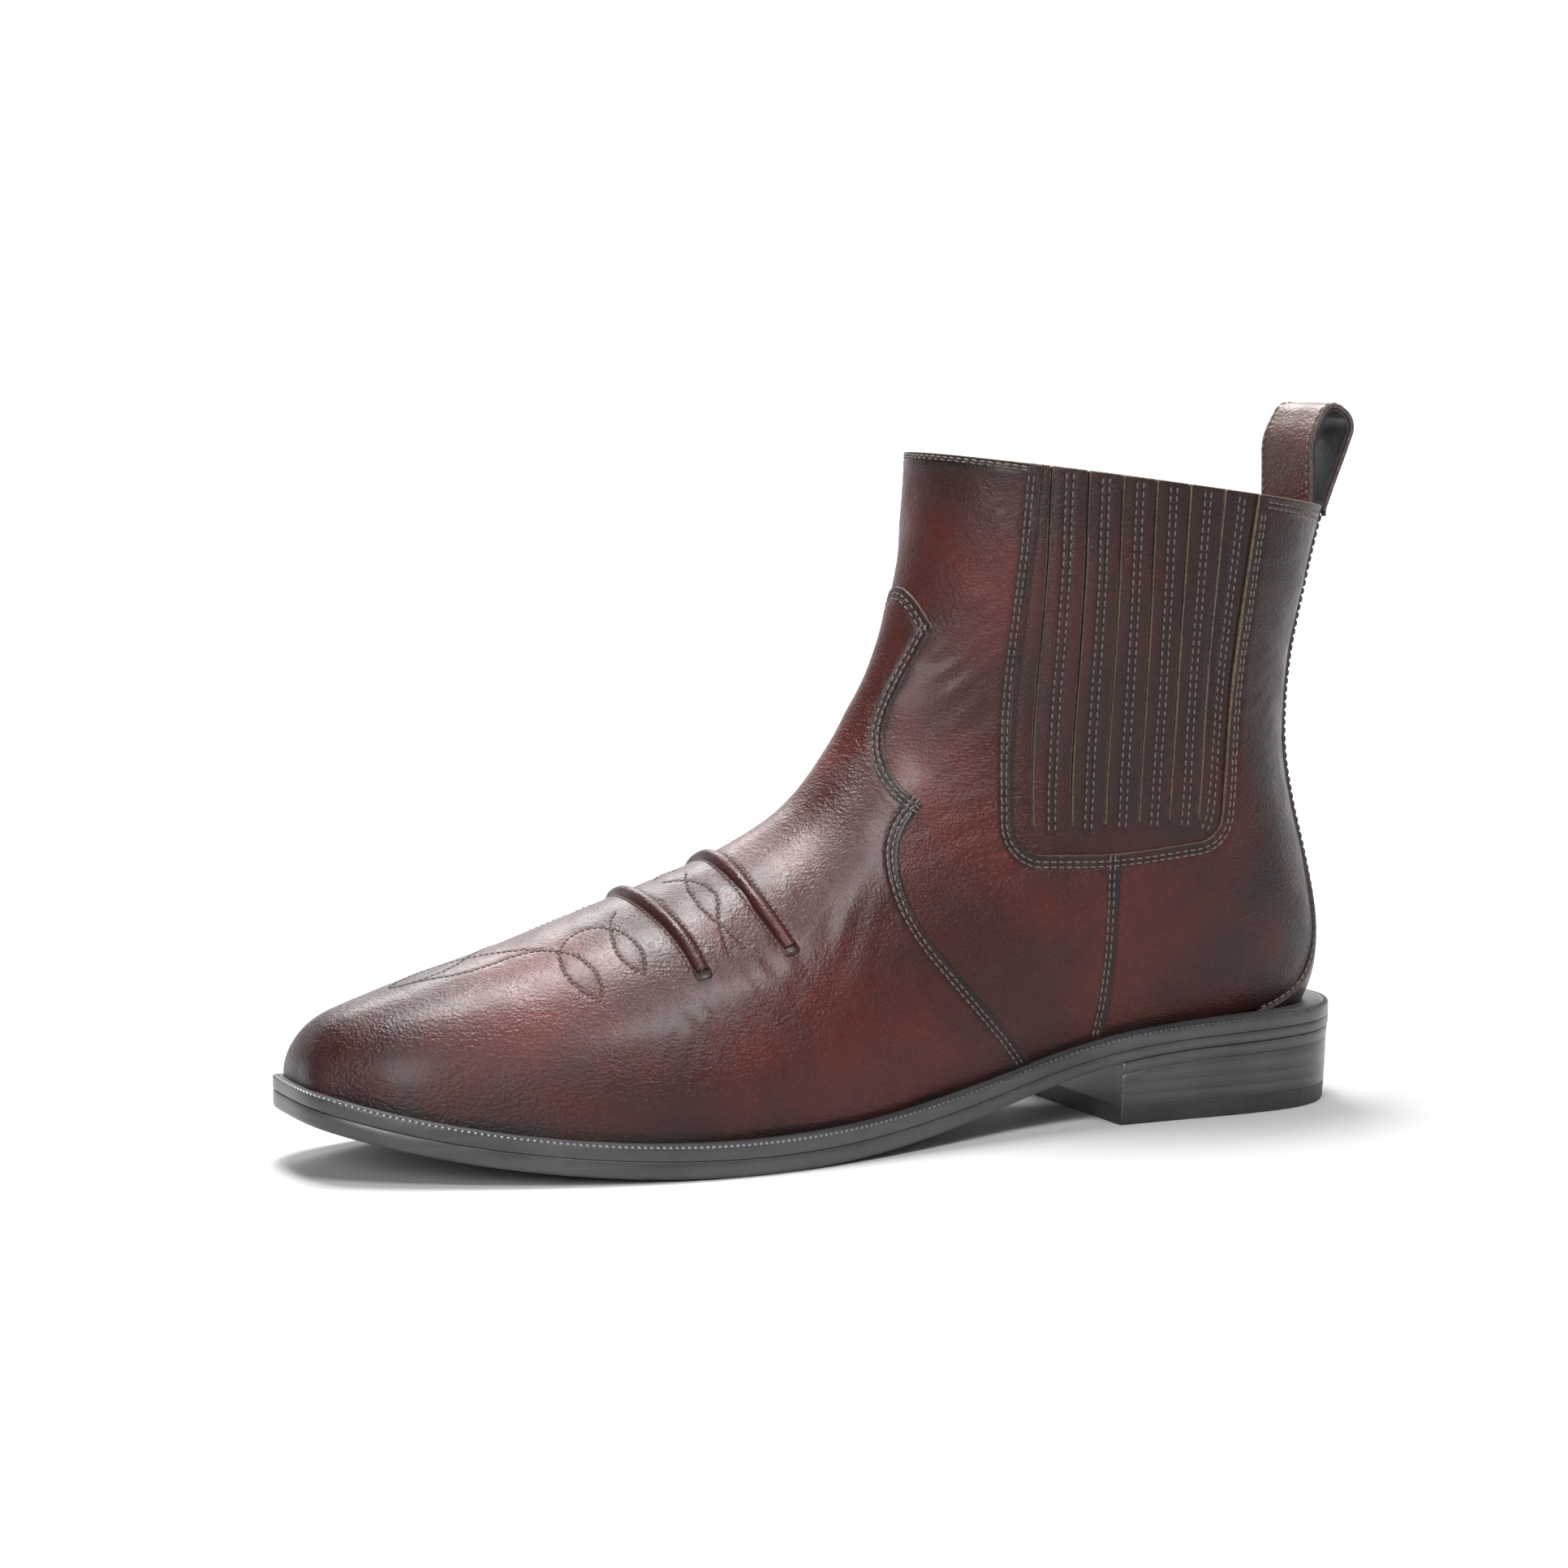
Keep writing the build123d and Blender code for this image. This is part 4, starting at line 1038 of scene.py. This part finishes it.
def build_vamp():
    loop = joined(*WINGS[1], between_points(FEATHERS[1], WINGS[1][2][-1], NOSE),
                  between_points(FEATHERS[-1], NOSE, WINGS[-1][2][-1]),
                  *[piece[::-1] for piece in WINGS[-1][::-1]])[:-1]
    rows = []
    for side in (1, -1):
        for piece in WINGS[side]:
            rows += inward_rows(piece, BORDER_ROWS, -side)
    rows = [kept_above(row, 1.5) for row in rows]
    ridge_rows = []
    for ridge in RIDGES.values():
        ridge_rows += inward_rows(ridge[4:-4], (2.5, -2.5), 1)
    panel("vamp_leather", loop, 0.0, UPPER, [LEATHER, GREY_EDGE], rows, vamp_swell, ["vamp"],
          fine_rows=ridge_rows + MEDALLION)
    return rows, ridge_rows


wing_rows, ridge_rows = build_vamp()


QUARTER_LEVEL = -UPPER
PANEL_LEVEL = -UPPER + 0.45      # the front panel laps over the quarters
TOPLINE_ROWS = (1.5, 2.7)
VAMP_LAP = 9.0                   # how far the front panel runs on under the vamp


def topline_rows(b0, b1):
    """Two rows under the topline, from one girth position to the other."""
    line = across_topline(b0, b1)
    return [path_on_form(line - (d, 0)) for d in TOPLINE_ROWS]


def build_front_panel():
    outline = []
    for side in (1, -1):
        hidden = joined(*wing(side, VAMP_LAP))
        foot = between_points(FEATHERS[side], SEAMS[side][-1], hidden[-1])
        outline.append(joined(GORES[side][0], SEAMS[side], foot, hidden[::-1]))
    loop = joined(across_topline(GORES[-1][0][0][1], GORES[1][0][0][1]), outline[0],
                  outline[1][::-1])[:-1]
    rows = []
    for side in (1, -1):
        rows += [kept_below(row, 4.0) for row in inward_rows(GORES[side][0], BORDER_ROWS, -side)]
        rows += [kept_above(row, 1.5) for row in inward_rows(SEAMS[side], BORDER_ROWS, -side)]
    rows += topline_rows(GORES[1][0][0][1] + 3.0, GORES[-1][0][0][1] - 3.0)
    panel("front_panel_leather", loop, PANEL_LEVEL, UPPER, [LEATHER, RAW_EDGE], rows,
          front_swell, ["shaft_front_panel"])
    return rows


def build_quarter(side, name):
    back = on_side(BACK_B, side)
    feather_line = between_points(FEATHERS[side], SEAMS[side][-1], FEATHERS[side][0])
    rise = np.stack([np.linspace(FEATHERS[side][0][0], FORM_LENGTH, 220), np.full(220, back)], 1)
    loop = joined(SEAMS[side], feather_line, path_on_form(rise, 0.7),
                  across_topline(back, GORES[side][1][-1][1]), GORES[side][1][::-1])[:-1]
    rows = [kept_below(row, 4.0) for row in inward_rows(GORES[side][1], BORDER_ROWS, -side)]
    rows += topline_rows(GORES[side][1][-1][1] - 3.0 * side,
                         STRAPS[side][0][1] + side)
    panel(f"{name}_quarter_leather", loop, QUARTER_LEVEL, UPPER, [LEATHER, RAW_EDGE], rows,
          quarter_swell, [f"{name}_quarter"], lapped=[SEAMS[side], STRAPS[side]])
    return rows


def build_back_strap():
    inner = STRAPS[-1] - (0, TURN)
    feather_outer = between_points(FEATHERS[1], STRAPS[1][-1], FEATHERS[1][0])
    feather_inner = between_points(FEATHERS[-1], FEATHERS[-1][0], STRAPS[-1][-1]) - (0, TURN)
    loop = joined(STRAPS[1], feather_outer, feather_inner, inner[::-1],
                  across_topline(inner[0][1], STRAPS[1][0][1]))[:-1]
    rows = [kept_above(row, 1.0) for row in inward_rows(STRAPS[1], (1.9,), -1)]
    rows += [kept_above(row, 1.0) for row in inward_rows(inner, (1.9,), 1)]
    rows += topline_rows(STRAPS[1][0][1] - 2.5, inner[0][1] + 2.5)
    panel("back_strap_leather", loop, 0.0, UPPER, [LEATHER, GREY_EDGE], rows, strap_swell,
          ["back_strap"])
    return rows


GORE_LEVEL = -2.0
GORE_THICKNESS = 1.0
SLIT_WIDTHS = (0.4, 0.6, 0.4, 0.5, 0.6, 0.45)
FINGER_CROWN = 0.45


def finger_lines(side):
    """The slits' centre lines and the sewn lines between them, from the top down."""
    slits = []
    for top_x, bottom_x in zip(SLIT_TOPS, SLIT_BOTTOMS):
        end = (bottom_x + (top_x - bottom_x) * (200 - SLIT_BOTTOM_Z)
               / (SLIT_TOP_Z - SLIT_BOTTOM_Z), 200.0)
        xz = np.array(end) + (np.array((bottom_x, SLIT_BOTTOM_Z)) - end) \
            * np.linspace(0, 1, 180)[:, None]
        ab = cut(locate(xz, side)[::-1], under_topline)[::-1]
        slits.append(path_on_form(ab))
    border = between_points(GORES[side][1], GORES[side][1][-1], GORES[side][1][40])
    border_down = border[border[:, 0] > slits[-1][-1][0]]
    lines = slits + [path_on_form(border_down)]
    sewn = []
    for left, right in zip(lines, lines[1:]):
        middle = (by_share(left, 160) + by_share(right, 160)) / 2
        last = middle[-1] + (middle[-1] - middle[-9]) * 0.35
        sewn.append(path_on_form(np.vstack([middle, last])))
    return slits, sewn


def build_gore_cover(side, name):
    slits, sewn = finger_lines(side)
    front, rear = GORES[side]
    outside = path_on_form(shift_path(joined(front, rear), -side * 3.5), 0.8)
    outside = outside[outside[:, 0] < FORM_LENGTH - 0.3]
    first, last = outside[0].copy(), outside[-1].copy()
    first[0] = last[0] = FORM_LENGTH
    top = []
    spot = last
    for slit, width in list(zip(slits, SLIT_WIDTHS))[::-1]:
        share = np.linspace(1.0, 0.55, len(slit))[:, None]
        wide = [slit + (shift_path(slit, s * width / 2) - slit) * share for s in (side, -side)]
        for edge in wide:
            edge[0, 0] = FORM_LENGTH
        top.append(across_topline(spot[1], wide[0][0][1]))
        tip = slit[-1] + (slit[-1] - slit[-3]) * 0.4
        top += [wide[0][1:], tip[None], wide[1][::-1][:-1]]
        spot = wide[1][0]
    top.append(across_topline(spot[1], first[1]))
    loop = joined(first[None], outside, last[None], *top)[:-1]
    rows = []
    for line in sewn:
        rows += [kept_below(row, 1.0) for row in inward_rows(line, (0.95, -0.95), 1)]
    slit_space = [on_form(line) for line in (*slits, joined(front, rear))]

    def crown(p):
        rise = 1 - bell(distance_to(p, slit_space), 0.0, 1.3)
        inside = np.clip((p[:, 2] - SLIT_BOTTOM_Z + 3) / 10, 0, 1)
        return FINGER_CROWN * (rise - 0.55) * inside + 0.05 * ripple(p, 9.0, 61)

    panel(f"{name}_gore_leather", loop, GORE_LEVEL, GORE_THICKNESS, [GORE_LEATHER, RAW_EDGE],
          rows, crown, [f"{name}_gore_cover"], spacing=1.1, bare_rim=0.24)
    return [stitch_spots(row, GORE_LEVEL + SUNK, STITCH_PITCH, crown) for row in rows]


SIDES = {"outer": 1, "inner": -1}
front_rows = build_front_panel()
quarter_rows = {name: build_quarter(side, name) for name, side in SIDES.items()}
strap_rows = build_back_strap()
gores = {name: build_gore_cover(side, name) for name, side in SIDES.items()}

# ---- stitching --------------------------------------------------------------------------------
def sew(name, rows, level, swell):
    """The grey stitches of a piece's rows."""
    spots = [stitch_spots(row, level + SUNK, STITCH_PITCH, swell) for row in rows]
    return stitches(name, spots, THREAD_GREY)


sew("vamp_edge_stitches", wing_rows, 0.0, vamp_swell)
for name, rows in (("toe_medallion", MEDALLION), ("toe_ridge", ridge_rows)):
    stitches(f"{name}_stitches", [stitch_spots(row, SUNK, 1.65, vamp_swell) for row in rows],
             THREAD_DARK, 1.45, 0.36)
sew("front_panel_stitches", front_rows, PANEL_LEVEL, front_swell)
for name in ("outer", "inner"):
    sew(f"{name}_quarter_stitches", quarter_rows[name], QUARTER_LEVEL, quarter_swell)
    stitches(f"{name}_gore_stitches", gores[name], THREAD_GREY, 1.7)
sew("back_strap_stitches", strap_rows, 0.0, strap_swell)


# ---- toe ridges -------------------------------------------------------------------------------
RIDGE_PROFILE = [(-2.5, -0.7), (-2.15, 0.0), (-1.78, 0.22), (-1.66, 0.75), (-1.4, 1.25),
                 (-0.95, 1.62), (-0.45, 1.82), (0.0, 1.88), (0.45, 1.82), (0.95, 1.62),
                 (1.4, 1.25), (1.66, 0.75), (1.78, 0.22), (2.15, 0.0), (2.5, -0.7)]


def swept(name, middle, across, up, profile, material, size=1.0):
    """A closed profile, as (across, up) offsets, carried along a line in space."""
    profile = np.asarray(profile, float)
    n, m = len(middle), len(profile)
    size = np.full(n, size)[:, None, None]
    points = (middle[:, None] + across[:, None] * profile[None, :, 0:1] * size
              + up[:, None] * profile[None, :, 1:2] * size)
    faces = [(a, d, c, b) for a, b, c, d in ring_quads(n, m)]
    faces += [tuple(range(m)), tuple(range((n - 1) * m, n * m))[::-1]]
    return make_object(name, points.reshape(-1, 3), faces, [material])


def along_form(ab):
    """Points, sideways and outward directions along a path on the form."""
    p, _, _, normal = form_frame(ab)
    tangent = unit_rows(np.gradient(p, axis=0))
    across = unit_rows(np.cross(normal, tangent))
    return p, across, np.cross(tangent, across)


# Section of the cord inside a ridge, and of the flat tab at a ridge's ends.
CORD_DISC = [(math.cos(t) * 0.85, 0.75 + math.sin(t) * 0.85)
             for t in np.linspace(0, 2 * math.pi, 14, endpoint=False)]
TAB_PROFILE = [(-2.4, -0.5), (-2.3, 0.25), (-1.9, 0.5), (0.0, 0.62), (1.9, 0.5), (2.3, 0.25),
               (2.4, -0.5)]
TAB_SIZES = np.array([1, 1, 1, 1, 1, 1, 0.98, 0.9, 0.7])


for ridge_name, ridge in RIDGES.items():
    middle, across, up = along_form(ridge)
    run = np.arange(len(ridge)) / (len(ridge) - 1)
    wobble = 1 + 0.03 * np.sin(run * 19) + 0.02 * np.sin(run * 47)
    made = swept(f"{ridge_name}_toe_ridge_roll", middle, across, up, RIDGE_PROFILE, LEATHER,
                 wobble)
    paint_gaps(made, FAR, FAR)
    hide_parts(f"{ridge_name}_toe_ridge")
    cord = swept(f"{ridge_name}_ridge_cord_ends", middle[:-1], across[:-1], up[:-1], CORD_DISC,
                 CORD)
    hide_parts(f"{ridge_name}_ridge_cord")
    for end, step, tag in ((0, 1, "outer"), (-1, -1, "inner")):
        outward = middle[end] - middle[end + 2 * step]
        outward /= np.linalg.norm(outward)
        line = middle[end] + outward * (np.linspace(0, 1, 9) * 3.6 - 1.2)[:, None]
        tab = swept(f"{ridge_name}_ridge_{tag}_tab", line, np.repeat(across[end][None], 9, 0),
                    np.repeat(up[end][None], 9, 0), TAB_PROFILE, LEATHER, TAB_SIZES)
        paint_gaps(tab, 3.4, FAR)

# ---- sole and heel ----------------------------------------------------------------------------
OUTLINE = smooth_curve(SOLE_OUTLINE, 520, closed=True)
HEEL_BREAST_X = -72.0
SEAT_LIFT = 3.2
TOP_LIFT = 5.2
HEEL_TAPER = 1.4


def moved_right(line, run, distance):
    """A plane line moved to the right of its directions `run`."""
    run = unit_rows(run)
    return line + np.stack([run[:, 1], -run[:, 0]], 1) * distance


def inset_outline(outline, inset):
    """The closed outline with each point moved inwards."""
    return moved_right(outline, np.roll(outline, -2, axis=0) - np.roll(outline, 2, axis=0), inset)


def rings(name, outline, profile, materials, slots, close=True):
    """Rings round the sole; `outline` gives a ring's points for an inset.

    Each row of the profile is (inset, curve, offset, notch): the ring lies `offset` over the
    curve, less the notches of the welt's wheeled edge. With `close` the first and the last
    ring are filled in, otherwise they are joined.
    """
    points = []
    for inset, curve, offset, notch in profile:
        xy = outline(inset)
        wheel = 0.5 + 0.5 * np.cos(np.arange(len(xy)) / len(xy) * TICKS * 2 * math.pi)
        points.append(np.column_stack([xy, curve(xy[:, 0]) + offset - notch * wheel ** 3]))
    n, m = len(points[0]), len(profile)
    faces = ring_quads(m, n, wrap=not close)
    marks = [slots[i // n] for i in range(len(faces))]
    points = np.vstack(points)
    for ring, order in ((0, 1), (m - 1, -1)) if close else ():
        rim = points[ring * n:(ring + 1) * n, :2]
        line = np.column_stack([rim, np.zeros(n)])
        grid = grid_over(rim, CELL)
        flat = np.column_stack([grid, np.zeros(len(grid))])
        grid = grid[distance_to(flat, [np.vstack([line, line[:1]])]) > 0.6 * CELL]
        xy, triangles = triangulated(np.vstack([rim, grid]), n)
        xy = xy[n:]
        _, curve, offset, _ = profile[ring]
        start = len(points)
        points = np.vstack([points, np.column_stack([xy, curve(xy[:, 0]) + offset])])
        for triangle in triangles:
            corners = [ring * n + v if v < n else start + v - n for v in triangle]
            faces.append(corners[::order])
            marks.append(slots[min(ring, m - 2)])
    return make_object(name, points, faces, materials, marks, sharp=35.0)


PERIMETER = np.linalg.norm(np.diff(OUTLINE, axis=0, append=OUTLINE[:1]), axis=1).sum()
TICKS = round(PERIMETER / 1.65)  # notches round the welt
CELL = 4.0                       # spacing of the points that fill a flat face


def sole_round(inset):
    return inset_outline(OUTLINE, inset)


DENSE = smooth_curve(SOLE_OUTLINE, 5 * TICKS, closed=True)


def heel_round(inset):
    """Outline of the heel: the sole's back, cut off straight at the breast."""
    line = inset_outline(OUTLINE, inset)
    half = len(line) // 2
    line = np.roll(line, half, axis=0)
    line = line[line[:, 0] < HEEL_BREAST_X]
    arc = by_share(resample(line, 1.0), 260)
    corner = 0.35
    breast = np.linspace(arc[-1, 1] - corner, arc[0, 1] + corner, 30)
    face = np.column_stack([np.full(30, HEEL_BREAST_X), breast])
    return np.vstack([arc, face])


WELT_PROFILE = [
    (7.5, feather, -WELT, 0), (0.5, feather, -WELT, 0),
    (0.14, feather, -WELT + 0.12, 0), (0.0, feather, -WELT + 0.4, 0),
    (0.0, feather, -0.95, 0.1), (0.1, feather, -0.45, 0.3), (0.4, feather, -0.15, 0.38),
    (0.9, feather, -0.02, 0.34), (1.5, feather, 0.0, 0.12), (1.9, feather, -0.22, 0),
    (2.5, feather, 0.12, 0), (3.3, feather, 0.3, 0), (7.5, feather, 0.0, 0)]
welt = rings("welt_strip", lambda inset: inset_outline(DENSE, inset), WELT_PROFILE,
             [SOLE_EDGE, WELT_TOP], [1, 0, 0, 0, 0, 0, 1, 1, 1, 1, 1, 1, 1], close=False)
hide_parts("welt")


def half_way_up(x):
    """Level of the middle of the outsole's edge."""
    return (ground(x) + feather(x) - WELT) / 2


def floor_level(x):
    """Level of the floor, for rings given by their height over it."""
    return np.zeros(np.shape(x))


OUTSOLE_PROFILE = [
    (2.4, ground, 0.0, 0), (0.9, ground, 0.05, 0), (0.35, ground, 0.25, 0),
    (0.06, ground, 0.7, 0), (0.0, ground, 1.3, 0),
    (0.0, half_way_up, 0.3, 0),
    (0.0, feather, -WELT - 0.4, 0), (0.14, feather, -WELT - 0.12, 0),
    (0.5, feather, -WELT, 0), (4.0, feather, -WELT, 0)]
outsole = rings("outsole_leather", sole_round, OUTSOLE_PROFILE, [SOLE_EDGE, OUTSOLE_FACE],
                [1, 1, 0, 0, 0, 0, 0, 0, 0, 0])
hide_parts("outsole")


def taper(z):
    """Inset of the heel's side at a height over the floor."""
    return HEEL_TAPER * (1 - z / 24.0)


# Each heel part's rings: the height its taper is taken at, extra inset, curve and offset.
HEEL_PARTS = {
    "heel_top_lift": ([
        (0, 0.9, floor_level, 0.0), (0, 0.25, floor_level, 0.12), (0, 0, floor_level, 0.6),
        (2.6, 0, floor_level, 2.6), (4.9, 0, floor_level, TOP_LIFT - 0.22),
        (5, 0.12, floor_level, TOP_LIFT - 0.05), (5, 0.8, floor_level, TOP_LIFT),
    ], HEEL_RUBBER, "heel_rubber"),
    "heel_block": ([
        (5, 0.8, floor_level, TOP_LIFT), (5, 0.1, floor_level, TOP_LIFT + 0.05),
        (5.4, 0, floor_level, TOP_LIFT + 0.25), (8.3, 0, floor_level, 8.3),
        (8.5, 0.07, floor_level, 8.45), (8.6, 0, floor_level, 8.6),
        (11.4, 0, floor_level, 11.4), (11.5, 0.06, floor_level, 11.55),
        (11.7, 0, floor_level, 11.7), (14, 0, ground, -SEAT_LIFT - 0.25),
        (14, 0.12, ground, -SEAT_LIFT - 0.06), (14, 0.8, ground, -SEAT_LIFT),
    ], HEEL_STACK, "sole_leather"),
    "heel_seat_lift": ([
        (15, 0.8, ground, -SEAT_LIFT), (15, 0.12, ground, -SEAT_LIFT + 0.06),
        (15, 0, ground, -SEAT_LIFT + 0.25), (19, 0, ground, -0.3), (19, 0.12, ground, -0.08),
        (19, 0.8, ground, 0.0),
    ], HEEL_STACK, "sole_leather"),
}
for part_name, (rows, material, slot) in HEEL_PARTS.items():
    profile = [(taper(z) + extra, curve, offset, 0) for z, extra, curve, offset in rows]
    made = rings(f"{part_name}_shaped", heel_round, profile, [material], [0] * len(profile))
    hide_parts(part_name)


# ---- pull loop --------------------------------------------------------------------------------
LOOP_CORNERS = [(-139.1, 162.0), (-138.75, 185.5), (-145.5, 197.3), (-155.0, 190.5),
                (-144.6, 165.0)]
LOOP_FILLETS = [16.0, 5.5, 6.0]
LOOP_LEATHER = 1.3
LOOP_LINING = 0.9
LOOP_HALF_WIDTH = 13.0
LOOP_ROW = 1.3                   # from the loop's edge to its sewn row


def offset_line(line, distance):
    """A plane polyline moved sideways, to the right of travel for positive distances."""
    return moved_right(line, np.gradient(line, axis=0), distance)


# Section of a strap: place across it and depth, as shares, and each side's material.
STRIP_PROFILE = [
    (-1, 0.5), (-0.992, 0.16), (-0.96, 0.0), (-0.88, 0.0), (-0.8, 0.0), (-0.4, -0.03),
    (0, -0.04), (0.4, -0.03), (0.8, 0.0), (0.88, 0.0), (0.96, 0.0), (0.992, 0.16),
    (1, 0.5), (0.99, 1.0), (0.5, 1.0), (0, 1.0), (-0.5, 1.0), (-0.99, 1.0)]
STRIP_SLOTS = [1, 1, 0, 0, 0, 0, 0, 0, 0, 0, 1, 1, 1, 2, 2, 2, 2, 1]


def strip(name, outer_line, thickness, materials, half_width, ragged):
    """A strap along a side-view line: `outer_line` is its outer face, rounded at its edges."""
    n, m = len(outer_line), len(STRIP_PROFILE)
    share = np.linspace(0, 1, n)
    points = []
    for across, depth in STRIP_PROFILE:
        line = offset_line(outer_line, -depth * thickness)
        edge = half_width * (1 + ragged * np.sin(share * 31 + across) * 0.004)
        points.append(np.column_stack([line[:, 0], across * edge, line[:, 1]]))
    points = np.stack(points, 1).reshape(-1, 3)
    faces = ring_quads(n, m) + [tuple(range(m))[::-1], tuple(range((n - 1) * m, n * m))]
    made = make_object(name, points, faces, materials, STRIP_SLOTS * (n - 1) + [1, 1],
                       body=None, sharp=50.0)
    gap = np.abs(half_width - np.abs(points[:, 1]))
    # The distance to the sewn rows gives the loop's rows the leather's wax darkening and painted
    # groove shade.
    paint_gaps(made, gap + 3.0, np.abs(gap - LOOP_ROW) + 0.6)
    return made


def hinged(piece):
    """Bakes the placement of a piece of the loop into its mesh."""
    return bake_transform(piece)


LOOP_LINE = resample(filleted(LOOP_CORNERS, LOOP_FILLETS), 0.8)[::-1]
# Travel runs up the rear leg and down the front leg, so the loop's inside is on the right.
loop_leather = strip("pull_loop_strap", LOOP_LINE, -LOOP_LEATHER,
                     [LOOP_LEATHER_LOOK, GREY_EDGE, DARK_EDGE],
                     LOOP_HALF_WIDTH, 1.0)
inner_line = offset_line(LOOP_LINE, LOOP_LEATHER)
inner_line = inner_line[(inner_line[:, 1] > 163.0)]
loop_lining = strip("pull_loop_facing", inner_line, -LOOP_LINING,
                    [BLACK_LINING, DARK_EDGE, BLACK_LINING],
                    LOOP_HALF_WIDTH - 0.25, 2.0)
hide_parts("pull_loop_leather")
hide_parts("pull_loop_lining")
spots = []
fine = resample(LOOP_LINE, 0.25)
fine = fine[fine[:, 1] > 169.0]
_, _, middle, ahead = stitch_steps(fine, 2.4)
ahead = unit_rows(ahead)
for across in (-LOOP_HALF_WIDTH + LOOP_ROW, LOOP_HALF_WIDTH - LOOP_ROW):
    spots.append([np.column_stack([v[:, 0], np.full(len(v), y), v[:, 1]]) for v, y in (
        (middle, across), (ahead, 0.0), (np.stack([-ahead[:, 1], ahead[:, 0]], 1), 0.0))])
loop_thread = stitches("pull_loop_stitches", spots, THREAD_GREY, body=None)
for piece in (loop_leather, loop_lining, loop_thread):
    hinged(piece)

# ---- CAD nodes that stay ----------------------------------------------------------------------
KEPT = {
    "vamp_doubler": BACKING, "outer_gore_elastic": ELASTIC, "inner_gore_elastic": ELASTIC,
    "toe_puff": BOARD, "heel_counter": BOARD, "pull_loop_tail": BLACK_LINING,
    "topline_tape": RAW_EDGE, "upper_backing": BACKING, "vamp_lining": RED_LINING,
    "shaft_lining": RED_LINING, "insole_board": BOARD, "heel_pad": FOAM,
    "sock_liner": SOCK_LEATHER, "steel_shank": STEEL, "bottom_filler": CORK, "heel_nails": NAIL,
}
for node, material in KEPT.items():
    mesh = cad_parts[node].data
    mesh.materials.clear()
    mesh.materials.append(material)

# ---- floor, light and camera ------------------------------------------------------------------
def soft_box(name, place, target, size, power):
    """A rectangular studio light that faces its target."""
    light = bpy.data.lights.new(name, "AREA")
    light.shape = "RECTANGLE"
    light.size, light.size_y = size
    light.energy = power
    obj = bpy.data.objects.new(name, light)
    obj.location = place
    way = Vector(target) - Vector(place)
    obj.rotation_euler = way.to_track_quat("-Z", "Y").to_euler()
    bpy.context.scene.collection.objects.link(obj)


def dish(flat_radius, bend, top, around=96):
    """Seamless round studio floor: flat, then curved up into a low wall."""
    rise = [(flat_radius * t, 0.0) for t in (0.12, 0.3, 0.6, 1.0)]
    rise += [(flat_radius + bend * math.sin(t), bend * (1 - math.cos(t)))
             for t in np.linspace(0.1, math.pi / 2, 14)]
    rise.append((flat_radius + bend, top))
    points = [(0, 0, 0)]
    for radius, height in rise:
        for k in range(around):
            turn = 2 * math.pi * k / around
            points.append((radius * math.cos(turn), radius * math.sin(turn), height))
    faces = [(0, 1 + k, 1 + (k + 1) % around) for k in range(around)]
    faces += [(a + 1, d + 1, c + 1, b + 1) for a, b, c, d in ring_quads(len(rise), around)]
    mesh = bpy.data.meshes.new("studio_floor")
    mesh.from_pydata(points, [], faces)
    mesh.shade_smooth()
    made = bpy.data.objects.new("studio_floor", mesh)
    bpy.context.scene.collection.objects.link(made)
    return made


floor = dish(1.4, 0.8, 1.3)
paper = Shader("studio_paper", Roughness=0.75)
paper.colour(paper.mix(paper.spread(paper.noise(3.0), 0.3, 0.7), (0.45, 0.45, 0.455),
                       (0.475, 0.475, 0.48)))
floor.data.materials.append(paper.material)

centre = (0.0, 0.0, 0.08)
soft_box("overhead_box", (0.1, -0.2, 1.35), centre, (0.65, 0.42), 32.0)
soft_box("near_box", (-0.12, 0.95, 1.1), centre, (0.65, 0.25), 17.0)
soft_box("front_box", (1.05, 1.05, 0.65), centre, (0.42, 0.64), 13.5)
soft_box("heel_box", (-1.25, -0.35, 0.6), centre, (0.45, 1.0), 2.5)
soft_box("back_box", (-0.15, -1.15, 0.95), centre, (0.8, 0.35), 12.0)
soft_box("backdrop_box", (-0.75, -1.15, 1.25), (-1.0, -2.1, 0.3), (1.6, 0.3), 40.0)

world = bpy.data.worlds.new("studio")
world.use_nodes = True
world.node_tree.nodes["Background"].inputs["Color"].default_value = (0.97, 0.975, 1.0, 1.0)
world.node_tree.nodes["Background"].inputs["Strength"].default_value = 0.11
bpy.context.scene.world = world
bpy.context.scene.view_settings.view_transform = "Standard"

# The lens and place that make the boot's points fall where the photograph has them.
camera_data = bpy.data.cameras.new("photo_camera")
camera_data.lens = 93.17
camera_data.sensor_width = 36.0
camera_data.clip_end = 50.0
camera = bpy.data.objects.new("photo_camera", camera_data)
camera.location = (0.4609, 0.9822, 0.2080)
look = Vector((0.0154, 0.0, 0.0944)) - camera.location
camera.rotation_euler = look.to_track_quat("-Z", "Y").to_euler()
bpy.context.scene.collection.objects.link(camera)
bpy.context.scene.camera = camera
